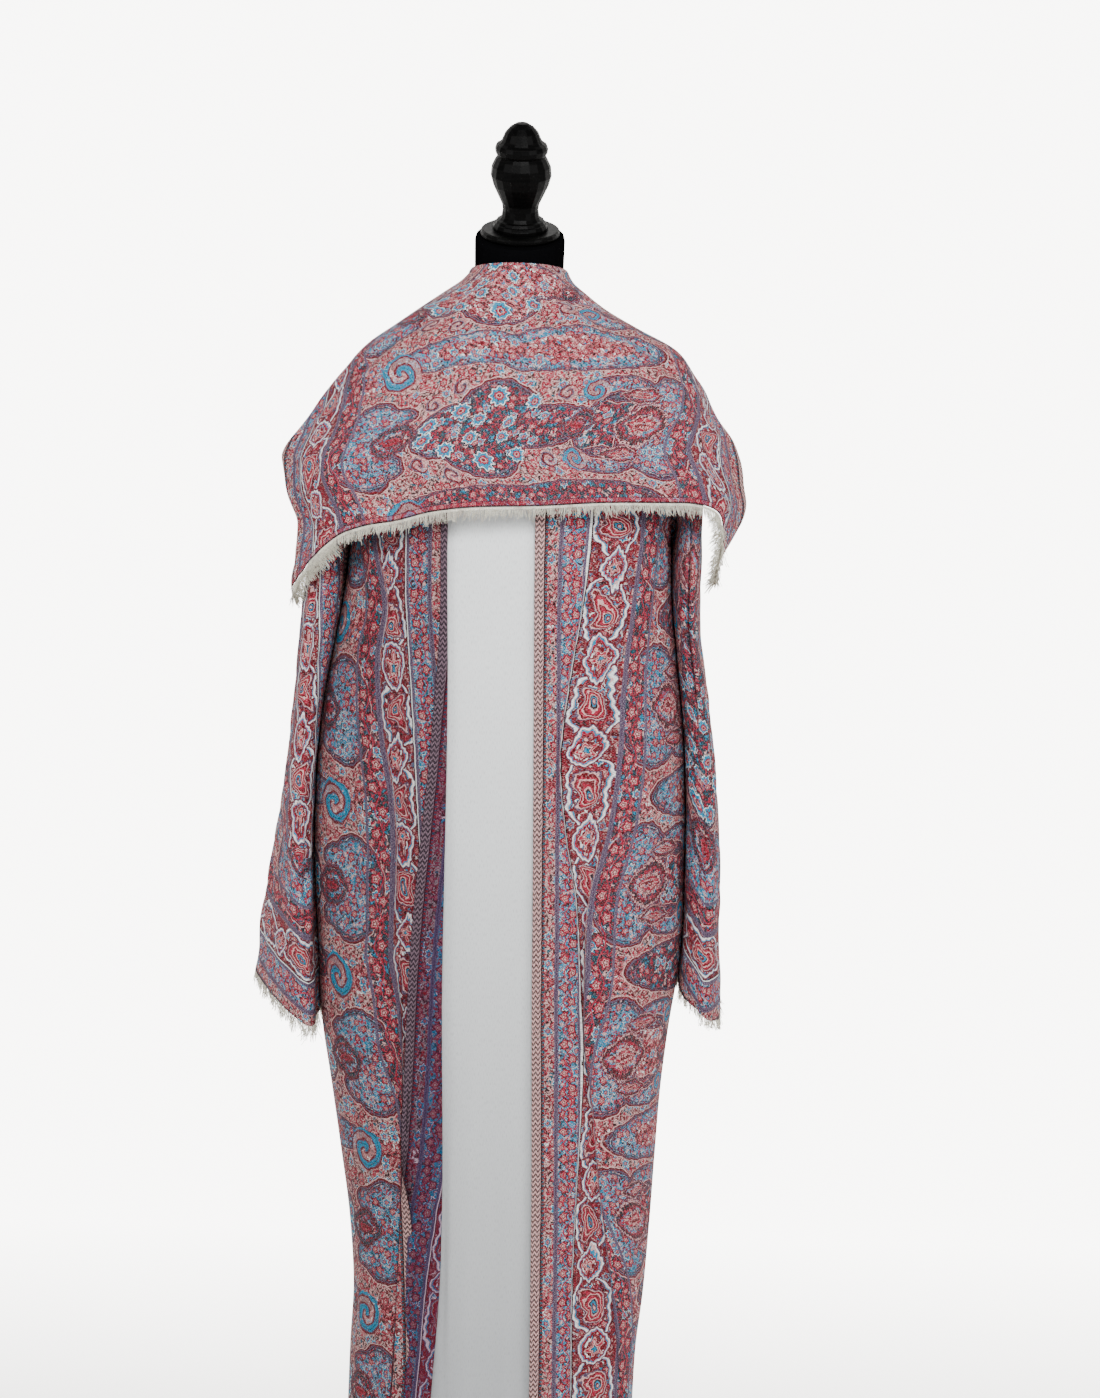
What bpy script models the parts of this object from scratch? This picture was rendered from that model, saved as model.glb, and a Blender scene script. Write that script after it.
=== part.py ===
"""Open-front abaya of patterned shawl cloth, worn by a limbless dress form.

Metres, +Z up. The front faces -Y and the viewer's right is +X.
The origin is the centre of the form's base, on the floor.
"""
import math

import bmesh
import bpy
from mathutils import Matrix, Vector

# Cloth
WALL = 0.002
SEAM_GAP = 0.0004
HEM_Z = 0.035
ROUND = 0.87

# Armhole, the same on both sides
ARMHOLE_Z = 1.325
ARMHOLE_HALF_HEIGHT = 0.100
ARMHOLE_HALF_DEPTH = 0.066

# Turned edge of the left front
FOLD_RADIUS = 0.0022

# Ripples along the collar's two hanging selvedges, in degrees round the body and metres
SELVEDGE_ANGLE = 90
RIPPLE_REACH = 14
RIPPLE_HEIGHT = 0.003

# Dress form
NECK_RADIUS = 0.0565
NECK_FOOT_Z = 1.5040
NECK_TOP_Z = 1.5790
CAP_TILT = math.radians(21.6)
CAP_RADIUS = 0.0503
CAP_THICK = 0.0090
BASE_RADIUS = 0.150
BASE_HEIGHT = 0.024
POLE_RADIUS = 0.0145

# Fringe
FRINGE_BACKING = 0.0028
FRINGE_WALL = 0.0012
COLLAR_STRANDS = 94
COLLAR_FRINGE_LENGTH = 0.0170
COLLAR_FRINGE_GAP = 0.0006
CUFF_STRANDS = 24
CUFF_FRINGE_LENGTH = 0.0140
CUFF_FRINGE_GAP = 0.0012
STRAND_SHARES = (0.2, 0.8)

# How many steps each piece is divided into
RIGHT_STEPS = 13
LEFT_STEPS = 12
BACK_STEPS = 16
SLEEVE_ROUND = 14
COLLAR_STEPS = 38
MIDDLE_STEPS = 6
FRONT_LAP = 5
TORSO_ROUND = 20
NECK_ROUND = 28

# Collar's turned-in top edge
TURNED_IN_RADIUS = 0.0584
TURNED_IN_LEVELS = (1.516, 1.530)
TURNED_IN_RISE = 0.006
TOP_EDGE_HALF_WIDTH = 0.0610
TOP_EDGE_HALF_DEPTH = 0.0616
TOP_EDGE_Z = 1.5335
TOP_EDGE_RISE = 0.0065
NECK_OPENING_ANGLE = 168

# Clearance of the sleeve heads, and the inner panel's top and setbacks
SLEEVE_HEAD_GAP = 0.0026
PANEL_TOP_Z = 1.35
PANEL_SETBACK = 0.0031
PANEL_MIDDLE_SETBACK = 0.0055
PANEL_WAVE = 0.0030

# Robe rings: z, left half width, right half width, front depth, back depth
ROBE = [
    (0.035, 0.191, 0.187, 0.120, 0.122),
    (0.130, 0.189, 0.190, 0.120, 0.122),
    (0.200, 0.186, 0.197, 0.121, 0.123),
    (0.300, 0.193, 0.203, 0.123, 0.125),
    (0.390, 0.206, 0.207, 0.125, 0.127),
    (0.485, 0.221, 0.212, 0.127, 0.130),
    (0.565, 0.234, 0.220, 0.130, 0.133),
    (0.650, 0.239, 0.231, 0.134, 0.137),
    (0.800, 0.247, 0.233, 0.138, 0.141),
    (0.950, 0.241, 0.226, 0.141, 0.141),
    (1.050, 0.226, 0.214, 0.143, 0.138),
    (1.120, 0.214, 0.206, 0.144, 0.134),
    (1.200, 0.206, 0.203, 0.142, 0.128),
    (1.300, 0.203, 0.203, 0.129, 0.118),
    (1.380, 0.201, 0.202, 0.112, 0.106),
    (1.420, 0.194, 0.197, 0.100, 0.097),
    (1.440, 0.178, 0.184, 0.092, 0.091),
    (1.4622, 0.150, 0.150, 0.083, 0.084),
    (1.4828, 0.1205, 0.1115, 0.075, 0.077),
    (1.500, 0.086, 0.084, 0.069, 0.071),
    (1.507, 0.070, 0.069, 0.066, 0.068),
]

# Collar rings: z, left half width, right half width, front depth, back depth, end angle left, end angle right
COLLAR = [
    (1.110, 0.282, 0.255, 0.160, 0.132, 88, 92),
    (1.160, 0.278, 0.265, 0.163, 0.136, 88, 91),
    (1.212, 0.272, 0.283, 0.163, 0.140, 89, 88),
    (1.250, 0.287, 0.295, 0.160, 0.140, 88, 86),
    (1.294, 0.293, 0.286, 0.156, 0.138, 87, 88),
    (1.327, 0.2735, 0.275, 0.151, 0.134, 92, 91),
    (1.365, 0.246, 0.252, 0.143, 0.126, 103, 101),
    (1.404, 0.2175, 0.2295, 0.133, 0.118, 118, 114),
    (1.440, 0.188, 0.201, 0.119, 0.108, 137, 132),
    (1.465, 0.1525, 0.1535, 0.105, 0.098, 156, 156),
    (1.486, 0.1225, 0.1145, 0.092, 0.088, 165, 165),
    (1.507, 0.092, 0.086, 0.079, 0.077, 167, 167),
    (1.520, 0.073, 0.070, 0.071, 0.070, 168, 168),
    (1.529, 0.064, 0.064, 0.066, 0.066, 168, 168),
]

# Height of the collar's hem: angle from the front, z
COLLAR_HEM = [
    (-92, 1.110),
    (-75, 1.138),
    (-62, 1.169),
    (-52, 1.1945),
    (-40, 1.211),
    (-27, 1.221),
    (-18, 1.232),
    (-8, 1.239),
    (4, 1.243),
    (18, 1.2485),
    (34, 1.250),
    (48, 1.249),
    (60, 1.2375),
    (68, 1.215),
    (76, 1.185),
    (84, 1.162),
    (92, 1.150),
]

# Inner edges of the fronts: z, left x, right x
FRONT_EDGES = [
    (0.035, -0.0800, 0.0510),
    (0.107, -0.0760, 0.0503),
    (0.236, -0.0686, 0.0483),
    (0.367, -0.0676, 0.0465),
    (0.625, -0.0731, 0.0405),
    (0.752, -0.0733, 0.0385),
    (1.000, -0.0738, 0.0335),
    (1.213, -0.0783, 0.0295),
    (1.400, -0.0700, 0.0295),
    (1.507, -0.0420, 0.0290),
]

# Left front's turned edge: z, width of the strip, width of the flap on it, turn of the flap in degrees
TURNED_EDGE = [
    (0.035, 0.050, 0.026, 176),
    (0.105, 0.048, 0.027, 176),
    (0.234, 0.052, 0.020, 172),
    (0.340, 0.050, 0.012, 150),
    (0.400, 0.048, 0.007, 75),
    (0.450, 0.046, 0.006, 20),
    (0.545, 0.041, 0.006, 0),
    (0.711, 0.033, 0.006, 0),
    (0.950, 0.015, 0.005, 0),
    (1.125, 0.006, 0.002, 0),
    (1.507, 0.006, 0.002, 0),
]

# Long folds in the fronts: top z, top x, bottom z, bottom x, half width, depth
FRONT_FOLDS = [
    (1.20, 0.064, 0.30, 0.078, 0.022, 0.0045),
    (1.00, 0.150, 0.58, 0.100, 0.022, 0.0060),
    (0.62, 0.104, 0.05, 0.166, 0.022, 0.0060),
    (0.92, 0.185, 0.10, 0.150, 0.022, -0.0040),
    (1.12, -0.150, 0.30, -0.128, 0.022, 0.0065),
    (0.85, -0.190, 0.10, -0.155, 0.024, -0.0045),
    (1.10, -0.195, 0.62, -0.205, 0.020, 0.0050),
]

# Long folds in the back, the same columns
BACK_FOLDS = [
    (1.30, -0.055, 0.05, -0.075, 0.030, 0.0080),
    (1.25, 0.070, 0.05, 0.090, 0.030, 0.0080),
    (1.10, 0.005, 0.05, 0.010, 0.034, -0.0050),
    (1.00, -0.140, 0.05, -0.135, 0.028, 0.0060),
]

# Left sleeve rings below the armhole: centre x, y, z, then the outer and the front half axes
LEFT_SLEEVE = [
    (-0.2100, 0.000, 1.3090, -0.0015, 0.000, 0.0830, 0.0000, -0.0660, 0.0000),
    (-0.2180, 0.000, 1.2875, -0.0065, 0.000, 0.0725, 0.0000, -0.0690, 0.0000),
    (-0.2255, 0.000, 1.2600, -0.0125, 0.000, 0.0570, 0.0000, -0.0710, 0.0000),
    (-0.2310, 0.000, 1.2260, -0.0160, 0.000, 0.0400, 0.0000, -0.0720, 0.0000),
    (-0.2370, 0.000, 1.1750, -0.0190, 0.000, 0.0180, 0.0000, -0.0720, 0.0000),
    (-0.2435, 0.000, 1.1050, -0.0235, 0.000, 0.0040, 0.0020, -0.0720, 0.0000),
    (-0.2560, 0.000, 1.0050, -0.0195, 0.000, 0.0000, 0.0030, -0.0720, 0.0000),
    (-0.2670, 0.000, 0.9000, -0.0175, 0.000, 0.0000, 0.0060, -0.0710, 0.0000),
    (-0.2765, 0.000, 0.8000, -0.0190, 0.000, 0.0000, 0.0160, -0.0700, -0.0020),
    (-0.2835, 0.000, 0.7000, -0.0200, 0.000, 0.0040, 0.0290, -0.0690, -0.0100),
    (-0.2860, 0.000, 0.5850, -0.0200, 0.000, 0.0100, 0.0380, -0.0680, -0.0200),
]

# Right sleeve rings, the same columns
RIGHT_SLEEVE = [
    (0.2105, 0.000, 1.3090, 0.0015, 0.000, 0.0830, 0.0000, -0.0660, 0.0000),
    (0.2180, 0.000, 1.2875, 0.0065, 0.000, 0.0725, 0.0000, -0.0690, 0.0000),
    (0.2250, 0.000, 1.2600, 0.0115, 0.000, 0.0570, 0.0000, -0.0710, 0.0000),
    (0.2285, 0.000, 1.2260, 0.0140, 0.000, 0.0400, 0.0000, -0.0720, 0.0000),
    (0.2275, 0.000, 1.1750, 0.0145, 0.000, 0.0180, 0.0000, -0.0720, 0.0000),
    (0.2270, 0.000, 1.1050, 0.0150, 0.000, 0.0040, 0.0000, -0.0720, 0.0000),
    (0.2400, 0.000, 1.0050, 0.0165, 0.000, 0.0000, 0.0000, -0.0720, 0.0000),
    (0.2520, 0.000, 0.9000, 0.0180, 0.000, 0.0000, 0.0000, -0.0720, 0.0000),
    (0.2580, 0.000, 0.8000, 0.0200, 0.000, 0.0000, -0.0010, -0.0730, 0.0000),
    (0.2610, 0.000, 0.7000, 0.0220, 0.000, -0.0080, -0.0020, -0.0740, -0.0060),
    (0.2645, 0.000, 0.6040, 0.0225, 0.000, -0.0200, -0.0040, -0.0750, -0.0120),
]

# Torso rings: z, half width, front depth, back depth
TORSO = [
    (0.740, 0.120, 0.078, 0.088),
    (0.748, 0.146, 0.092, 0.102),
    (0.800, 0.158, 0.099, 0.111),
    (0.900, 0.163, 0.104, 0.116),
    (1.020, 0.135, 0.092, 0.095),
    (1.120, 0.142, 0.104, 0.097),
    (1.210, 0.160, 0.117, 0.103),
    (1.300, 0.176, 0.108, 0.104),
    (1.370, 0.185, 0.094, 0.096),
    (1.415, 0.186, 0.085, 0.088),
    (1.4375, 0.1770, 0.080, 0.083),
    (1.4602, 0.1490, 0.076, 0.078),
    (1.4803, 0.1110, 0.070, 0.072),
    (1.4970, 0.0830, 0.064, 0.066),
    (1.5035, 0.0560, 0.056, 0.056),
]

# Finial turned on its own axis: height above the cap, radius
FINIAL = [
    (0.1354, 0.0000),
    (0.1345, 0.0075),
    (0.1300, 0.0148),
    (0.1230, 0.0210),
    (0.1137, 0.0250),
    (0.1105, 0.0275),
    (0.1080, 0.0318),
    (0.1030, 0.0334),
    (0.0975, 0.0325),
    (0.0940, 0.0302),
    (0.0900, 0.0330),
    (0.0810, 0.0372),
    (0.0690, 0.0384),
    (0.0560, 0.0348),
    (0.0420, 0.0283),
    (0.0320, 0.0236),
    (0.0250, 0.0226),
    (0.0170, 0.0240),
    (0.0130, 0.0268),
    (0.0118, 0.0300),
    (0.0085, 0.0318),
    (0.0078, 0.0335),
    (0.0045, 0.0348),
    (0.0038, 0.0352),
    (0.0004, 0.0352),
    (0.0004, 0.0000),
]

# Share of the way from the neck to the hem for each row of the collar
COLLAR_DROPS = [0.0, 0.03, 0.065, 0.105, 0.145, 0.19, 0.235, 0.285, 0.34, 0.41, 0.50, 0.60, 0.70, 0.80, 0.90, 1.0]

# Heights of the robe's rows
ROW_HEIGHTS = [
    HEM_Z, 0.11, 0.19, 0.27, 0.34, 0.40, 0.46, 0.54, 0.63, 0.72, 0.81, 0.90, 0.99, 1.07, 1.14,
    1.20, 1.235, 1.28, 1.33, 1.38, 1.412, 1.430, 1.447, 1.4622, 1.4828, 1.507,
]


def read(table, height, column):
    """Value of a column at a height, smooth between the table's rows."""
    rows = table if table[0][0] < table[-1][0] else table[::-1]
    if height <= rows[0][0]:
        return rows[0][column]
    if height >= rows[-1][0]:
        return rows[-1][column]
    i = max(k for k in range(len(rows) - 1) if rows[k][0] <= height)
    x0, x1 = rows[i][0], rows[i + 1][0]
    y0, y1 = rows[i][column], rows[i + 1][column]
    before = rows[max(i - 1, 0)]
    after = rows[min(i + 2, len(rows) - 1)]
    slope = (y1 - y0) / (x1 - x0)
    m0 = 0.5 * (slope + (y0 - before[column]) / (x0 - before[0])) if i > 0 else slope
    m1 = 0.5 * (slope + (after[column] - y1) / (after[0] - x1)) if i + 2 < len(rows) else slope
    if (y1 - y0) * m0 <= 0:
        m0 = 0.0
    if (y1 - y0) * m1 <= 0:
        m1 = 0.0
    t = (height - x0) / (x1 - x0)
    h = x1 - x0
    return (
        y0 * (1 + 2 * t) * (1 - t) ** 2
        + m0 * h * t * (1 - t) ** 2
        + y1 * t * t * (3 - 2 * t)
        - m1 * h * t * t * (1 - t)
    )


def power(value):
    return math.copysign(abs(value) ** ROUND, value)


def ring_point(table, angle, z):
    """Point on a ring: angle 0 is the front, +90 the viewer's right."""
    s = math.sin(math.radians(angle))
    c = math.cos(math.radians(angle))
    width = read(table, z, 2 if s >= 0 else 1)
    depth = read(table, z, 3 if c >= 0 else 4)
    return Vector((width * power(s), -depth * power(c), z))


def front_angle(x, z):
    """Angle on the robe's front at a distance x from the middle."""
    width = read(ROBE, z, 2 if x >= 0 else 1)
    return math.degrees(math.asin(math.copysign(min(1.0, (abs(x) / width) ** (1 / ROUND)), x)))


def side_angle(z, column, sign):
    """Angle where a front or the back ends: at the side seam, or at the armhole."""
    rise = (z - ARMHOLE_Z) / ARMHOLE_HALF_HEIGHT
    y = ARMHOLE_HALF_DEPTH * math.sqrt(max(0.0, 1 - rise * rise))
    y = max(y, SEAM_GAP / 2)
    away = math.degrees(math.acos(min(1.0, (y / read(ROBE, z, column)) ** (1 / ROUND))))
    return sign * (away if column == 3 else 180 - away)


def fold_depth(x, z, folds):
    """How far the long folds push the cloth inward at x, z."""
    total = 0.0
    for top_z, top_x, low_z, low_x, half_width, depth in folds:
        t = (top_z - z) / (top_z - low_z)
        if -0.15 < t < 1.15:
            line = top_x + (low_x - top_x) * t
            fade = min(1.0, max(0.0, (t + 0.15) / 0.3), max(0.0, (1.15 - t) / 0.3))
            total += depth * fade * math.exp(-((x - line) / half_width) ** 2)
    return total


def robe_point(angle, z):
    point = ring_point(ROBE, angle, z)
    facing = math.cos(math.radians(angle))
    if facing > 0:
        point.y += fold_depth(point.x, z, FRONT_FOLDS) * math.sqrt(facing)
    else:
        point.y -= fold_depth(point.x, z, BACK_FOLDS) * math.sqrt(-facing)
    return point


def new_material(name, colour, roughness):
    material = bpy.data.materials.new(name)
    material.use_nodes = True
    shader = material.node_tree.nodes["Principled BSDF"]
    shader.inputs["Base Color"].default_value = (*colour, 1.0)
    shader.inputs["Roughness"].default_value = roughness
    return material


def new_object(name, mesh, material):
    item = bpy.data.objects.new(name, mesh)
    PARTS.objects.link(item)
    item.data.materials.append(material)
    for face in item.data.polygons:
        face.use_smooth = True
    return item


def sheet(name, rows, material, closed=False):
    """Cloth piece: a grid of points, given its wall by Solidify."""
    mesh = bpy.data.meshes.new(name)
    wide = len(rows[0])
    points = [tuple(p) for row in rows for p in row]
    faces = []
    for r in range(len(rows) - 1):
        for c in range(wide if closed else wide - 1):
            d = (c + 1) % wide
            faces.append((r * wide + c, r * wide + d, (r + 1) * wide + d, (r + 1) * wide + c))
    mesh.from_pydata(points, [], faces)
    mesh.update()
    item = new_object(name, mesh, material)
    solid = item.modifiers.new("Wall", "SOLIDIFY")
    solid.thickness = WALL
    solid.offset = 0.0
    solid.use_even_offset = True
    return item


def solid_rings(name, rings, material):
    """Closed solid through a stack of rings with flat ends."""
    mesh = bpy.data.meshes.new(name)
    wide = len(rings[0])
    points = [tuple(p) for ring in rings for p in ring]
    faces = [tuple(range(wide - 1, -1, -1))]
    for r in range(len(rings) - 1):
        for c in range(wide):
            d = (c + 1) % wide
            faces.append((r * wide + c, r * wide + d, (r + 1) * wide + d, (r + 1) * wide + c))
    faces.append(tuple(range((len(rings) - 1) * wide, len(rings) * wide)))
    mesh.from_pydata(points, [], faces)
    shape = bmesh.new()
    shape.from_mesh(mesh)
    bmesh.ops.recalc_face_normals(shape, faces=shape.faces)
    shape.to_mesh(mesh)
    shape.free()
    return new_object(name, mesh, material)


def turned(name, profile, material, steps=24):
    """Turned solid: the profile runs from the top to the bottom on the outer side."""
    mesh = bpy.data.meshes.new(name)
    points = [(radius, 0.0, height) for height, radius in profile]
    mesh.from_pydata(points, [(i, i + 1) for i in range(len(points) - 1)], [])
    item = new_object(name, mesh, material)
    screw = item.modifiers.new("Turn", "SCREW")
    screw.steps = steps
    screw.render_steps = steps
    screw.use_merge_vertices = True
    screw.merge_threshold = 0.0001
    return item


def along(row, share, closed=False):
    """Point at a share of the way along a row of points."""
    steps = len(row) if closed else len(row) - 1
    place = min(max(share, 0.0), 1.0) * steps
    i = min(int(place), steps - 1)
    return row[i].lerp(row[(i + 1) % len(row)], place - i)


def fringe(name, roots, hang, length, gap):
    """Fringe: a narrow backing strip with separate tapering strands below it."""
    count = len(roots) // 2
    points = []
    for point, down in zip(roots, hang):
        points.append(point + down * gap)
    for point, down in zip(roots, hang):
        points.append(point + down * (gap + FRINGE_BACKING))
    wide = len(roots)
    faces = [(i, i + 1, wide + i + 1, wide + i) for i in range(wide - 1)]
    for s in range(count):
        a, b = wide + 2 * s, wide + 2 * s + 1
        middle = (points[a] + points[b]) / 2
        half = (points[b] - points[a]) / 2
        down = (hang[2 * s] + hang[2 * s + 1]).normalized()
        swing = math.sin(s * 2.4 + 0.7) * 0.45
        reach = length * (0.86 + 0.14 * math.sin(s * 5.1))
        tip = middle + down * reach + half * swing
        first = len(points)
        points.append(tip - half * 0.45)
        points.append(tip + half * 0.45)
        faces.append((a, b, first + 1, first))
    mesh = bpy.data.meshes.new(name)
    mesh.from_pydata([tuple(p) for p in points], [], faces)
    mesh.update()
    item = new_object(name, mesh, YARN)
    solid = item.modifiers.new("Yarn", "SOLIDIFY")
    solid.thickness = FRINGE_WALL
    solid.offset = 0.0
    solid.use_even_offset = False
    return item


# Clear the scene
for item in list(bpy.data.objects):
    bpy.data.objects.remove(item, do_unlink=True)

PARTS = bpy.data.collections.new("abaya_on_dress_form")
bpy.context.scene.collection.children.link(PARTS)

SHAWL = new_material("shawl_cloth", (0.42, 0.16, 0.22), 0.75)
GREY = new_material("grey_cloth", (0.62, 0.63, 0.64), 0.80)
YARN = new_material("fringe_yarn", (0.80, 0.78, 0.74), 0.85)
VELVET = new_material("black_velvet", (0.010, 0.010, 0.011), 0.90)
WOOD = new_material("black_wood", (0.015, 0.015, 0.015), 0.40)

# Right front, from its selvedge to the side seam
rows = []
for z in ROW_HEIGHTS:
    first = front_angle(read(FRONT_EDGES, z, 2), z)
    last = side_angle(z, 3, 1)
    rows.append([robe_point(first + (last - first) * k / RIGHT_STEPS, z) for k in range(RIGHT_STEPS + 1)])
RIGHT_PANEL = rows
sheet("front_right", rows, SHAWL)

# Left front, from the side seam to its turned edge
rows = []
for z in ROW_HEIGHTS:
    edge_x = read(FRONT_EDGES, z, 1)
    last = front_angle(edge_x - FOLD_RADIUS, z)
    first = side_angle(z, 3, -1)
    row = [robe_point(first + (last - first) * k / LEFT_STEPS, z) for k in range(LEFT_STEPS + 1)]
    strip = read(TURNED_EDGE, z, 1)
    flap = read(TURNED_EDGE, z, 2)
    turn = math.radians(read(TURNED_EDGE, z, 3))
    panel = row[-1]
    row.append(Vector((edge_x, panel.y - FOLD_RADIUS, z)))
    row.append(Vector((edge_x - FOLD_RADIUS, panel.y - 2 * FOLD_RADIUS, z)))
    for share in (0.5, 1.0):
        x = edge_x - FOLD_RADIUS - (strip - FOLD_RADIUS) * share
        y = robe_point(front_angle(x, z), z).y - 2 * FOLD_RADIUS
        row.append(Vector((x, y, z)))
    start = row[-1]
    for share in (0.5, 1.0):
        a = turn * share
        row.append(start + Vector((-math.sin(a), -(1 - math.cos(a)), 0.0)) * FOLD_RADIUS)
    end = row[-1]
    for share in (0.5, 1.0):
        row.append(end + Vector((-math.cos(turn), -math.sin(turn), 0.0)) * flap * share)
    if turn < 0.05:
        for k, share in enumerate((0.3, 0.5, 0.75, 1.0)):
            row[-4 + k] = start + Vector((-flap * share, 0.0, 0.0))
    rows.append(row)
LEFT_PANEL = [row[:LEFT_STEPS + 1] for row in rows]
sheet("front_left", rows, SHAWL)

# Back, from the left side seam round to the right one
rows = []
for z in ROW_HEIGHTS:
    first = side_angle(z, 4, 1)
    last = 360 + side_angle(z, 4, -1)
    rows.append([robe_point(first + (last - first) * k / BACK_STEPS, z) for k in range(BACK_STEPS + 1)])
sheet("back", rows, SHAWL)

# Sleeves, from the armhole down to the cuff
CUFFS = {}
for name, table, side in (("sleeve_left", LEFT_SLEEVE, -1), ("sleeve_right", RIGHT_SLEEVE, 1)):
    turns = [2 * math.pi * k / SLEEVE_ROUND for k in range(SLEEVE_ROUND)]
    head = []
    for a in turns:
        z = ARMHOLE_Z + ARMHOLE_HALF_HEIGHT * math.cos(a)
        y = -ARMHOLE_HALF_DEPTH * math.sin(a)
        width = read(ROBE, z, 2 if side > 0 else 1)
        depth = read(ROBE, z, 3 if y < 0 else 4)
        bend = (abs(y) / depth) ** (1 / ROUND)
        x = width * (1 - bend * bend) ** (ROUND / 2)
        head.append(Vector((side * (x + SLEEVE_HEAD_GAP), y * 1.03, z + 0.0008 * math.cos(a))))
    rows = [head]
    for cx, cy, cz, ax, ay, az, bx, by, bz in table:
        centre = Vector((cx, cy, cz))
        outer = Vector((ax, ay, az))
        front = Vector((bx, by, bz))
        rows.append([centre + outer * math.cos(a) + front * math.sin(a) for a in turns])
    CUFFS[name] = rows[-1]
    sheet(name, rows, SHAWL, closed=True)


def hem_height(angle):
    return read(COLLAR_HEM, angle, 1)


def collar_point(share, drop):
    """Point on the collar: share 0 to 1 runs from its left end to its right, drop 0 to 1 from neck to hem."""
    top = COLLAR[-1][0]
    left = right = 100.0
    for _ in range(4):
        z_left = top + (hem_height(-left) - top) * drop
        z_right = top + (hem_height(right) - top) * drop
        left = read(COLLAR, z_left, 5)
        right = read(COLLAR, z_right, 6)
    angle = -left + (left + right) * share
    z = top + (hem_height(angle) - top) * drop
    point = ring_point(COLLAR, angle, z)
    near_end = max(0.0, 1 - abs(abs(angle) - SELVEDGE_ANGLE) / RIPPLE_REACH)
    ripple = math.sin((z - 1.20) * 75.0) * near_end * min(1.0, drop * 1.6)
    point += Vector((point.x, point.y, 0.0)).normalized() * RIPPLE_HEIGHT * ripple
    return point


# Shawl collar: the turned top edge round the neck, then down over the shoulders to the hem
rows = []
top_rings = [(TURNED_IN_RADIUS, TURNED_IN_RADIUS, z, TURNED_IN_RISE) for z in TURNED_IN_LEVELS]
top_rings.append((TOP_EDGE_HALF_WIDTH, TOP_EDGE_HALF_DEPTH, TOP_EDGE_Z, TOP_EDGE_RISE))
for half_width, half_depth, z, rise in top_rings:
    row = []
    for k in range(COLLAR_STEPS + 1):
        a = math.radians(NECK_OPENING_ANGLE * (2 * k / COLLAR_STEPS - 1))
        row.append(Vector((half_width * math.sin(a), -half_depth * math.cos(a), z + rise * math.cos(a))))
    rows.append(row)
for drop in COLLAR_DROPS:
    rows.append([collar_point(k / COLLAR_STEPS, drop) for k in range(COLLAR_STEPS + 1)])
sheet("collar", rows, SHAWL)
HEM_ROW, ABOVE_HEM = rows[-1], rows[-2]

# Inner panel, seen between the fronts and lying just inside their edges
rows = []
for i, z in enumerate(ROW_HEIGHTS):
    if z > PANEL_TOP_Z:
        break
    left_part = LEFT_PANEL[i][-FRONT_LAP:]
    right_part = RIGHT_PANEL[i][:FRONT_LAP]
    row = list(left_part)
    x0, x1 = left_part[-1].x, right_part[0].x
    for k in range(1, MIDDLE_STEPS + 1):
        x = x0 + (x1 - x0) * k / (MIDDLE_STEPS + 1)
        row.append(ring_point(ROBE, front_angle(x, z), z))
    row += list(right_part)
    last = len(row) - 1
    low = max(0.0, 1 - z / 1.1)
    for k, point in enumerate(row):
        middle = math.sin(math.pi * k / last)
        wave = PANEL_WAVE * low * math.sin((point.x + 0.02) * 110) * middle ** 2
        row[k] = point + Vector((0.0, PANEL_SETBACK + PANEL_MIDDLE_SETBACK * middle + wave, 0.0))
    rows.append(row)
sheet("inner_panel", rows, GREY)

# Collar fringe below the hem
roots = []
hang = []
for s in range(COLLAR_STRANDS):
    for side in STRAND_SHARES:
        share = (s + side) / COLLAR_STRANDS
        root = along(HEM_ROW, share)
        above = along(ABOVE_HEM, share)
        roots.append(root)
        hang.append((root - above).normalized())
fringe("collar_fringe", roots, hang, COLLAR_FRINGE_LENGTH, COLLAR_FRINGE_GAP)

# Cuff fringes, an open comb round each cuff
for name, key in (("cuff_fringe_left", "sleeve_left"), ("cuff_fringe_right", "sleeve_right")):
    roots = []
    hang = []
    for s in range(CUFF_STRANDS):
        for side in STRAND_SHARES:
            roots.append(along(CUFFS[key], (s + side) / (CUFF_STRANDS + 0.6), closed=True))
            hang.append(Vector((0.0, 0.0, -1.0)))
    fringe(name, roots, hang, CUFF_FRINGE_LENGTH, CUFF_FRINGE_GAP)

# Dress form: torso
rings = []
for z, half, front, back in TORSO:
    ring = []
    for k in range(TORSO_ROUND):
        a = 2 * math.pi * k / TORSO_ROUND
        s, c = math.sin(a), math.cos(a)
        ring.append(Vector((half * power(s), -(front if c >= 0 else back) * power(c), z)))
    rings.append(ring)
solid_rings("form_torso", rings, VELVET)

# Neck cover, its top cut on the slope of the cap
rings = []
for share, radius in ((0.0, 0.0555), (0.03, NECK_RADIUS), (0.5, 0.0566), (0.93, 0.0572), (1.0, 0.0560)):
    ring = []
    for k in range(NECK_ROUND):
        a = 2 * math.pi * k / NECK_ROUND
        y = -radius * math.cos(a)
        top = NECK_TOP_Z + y * math.tan(CAP_TILT)
        ring.append(Vector((radius * math.sin(a), y, NECK_FOOT_Z + (top - NECK_FOOT_Z) * share)))
    rings.append(ring)
solid_rings("form_neck_cover", rings, VELVET)

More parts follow.
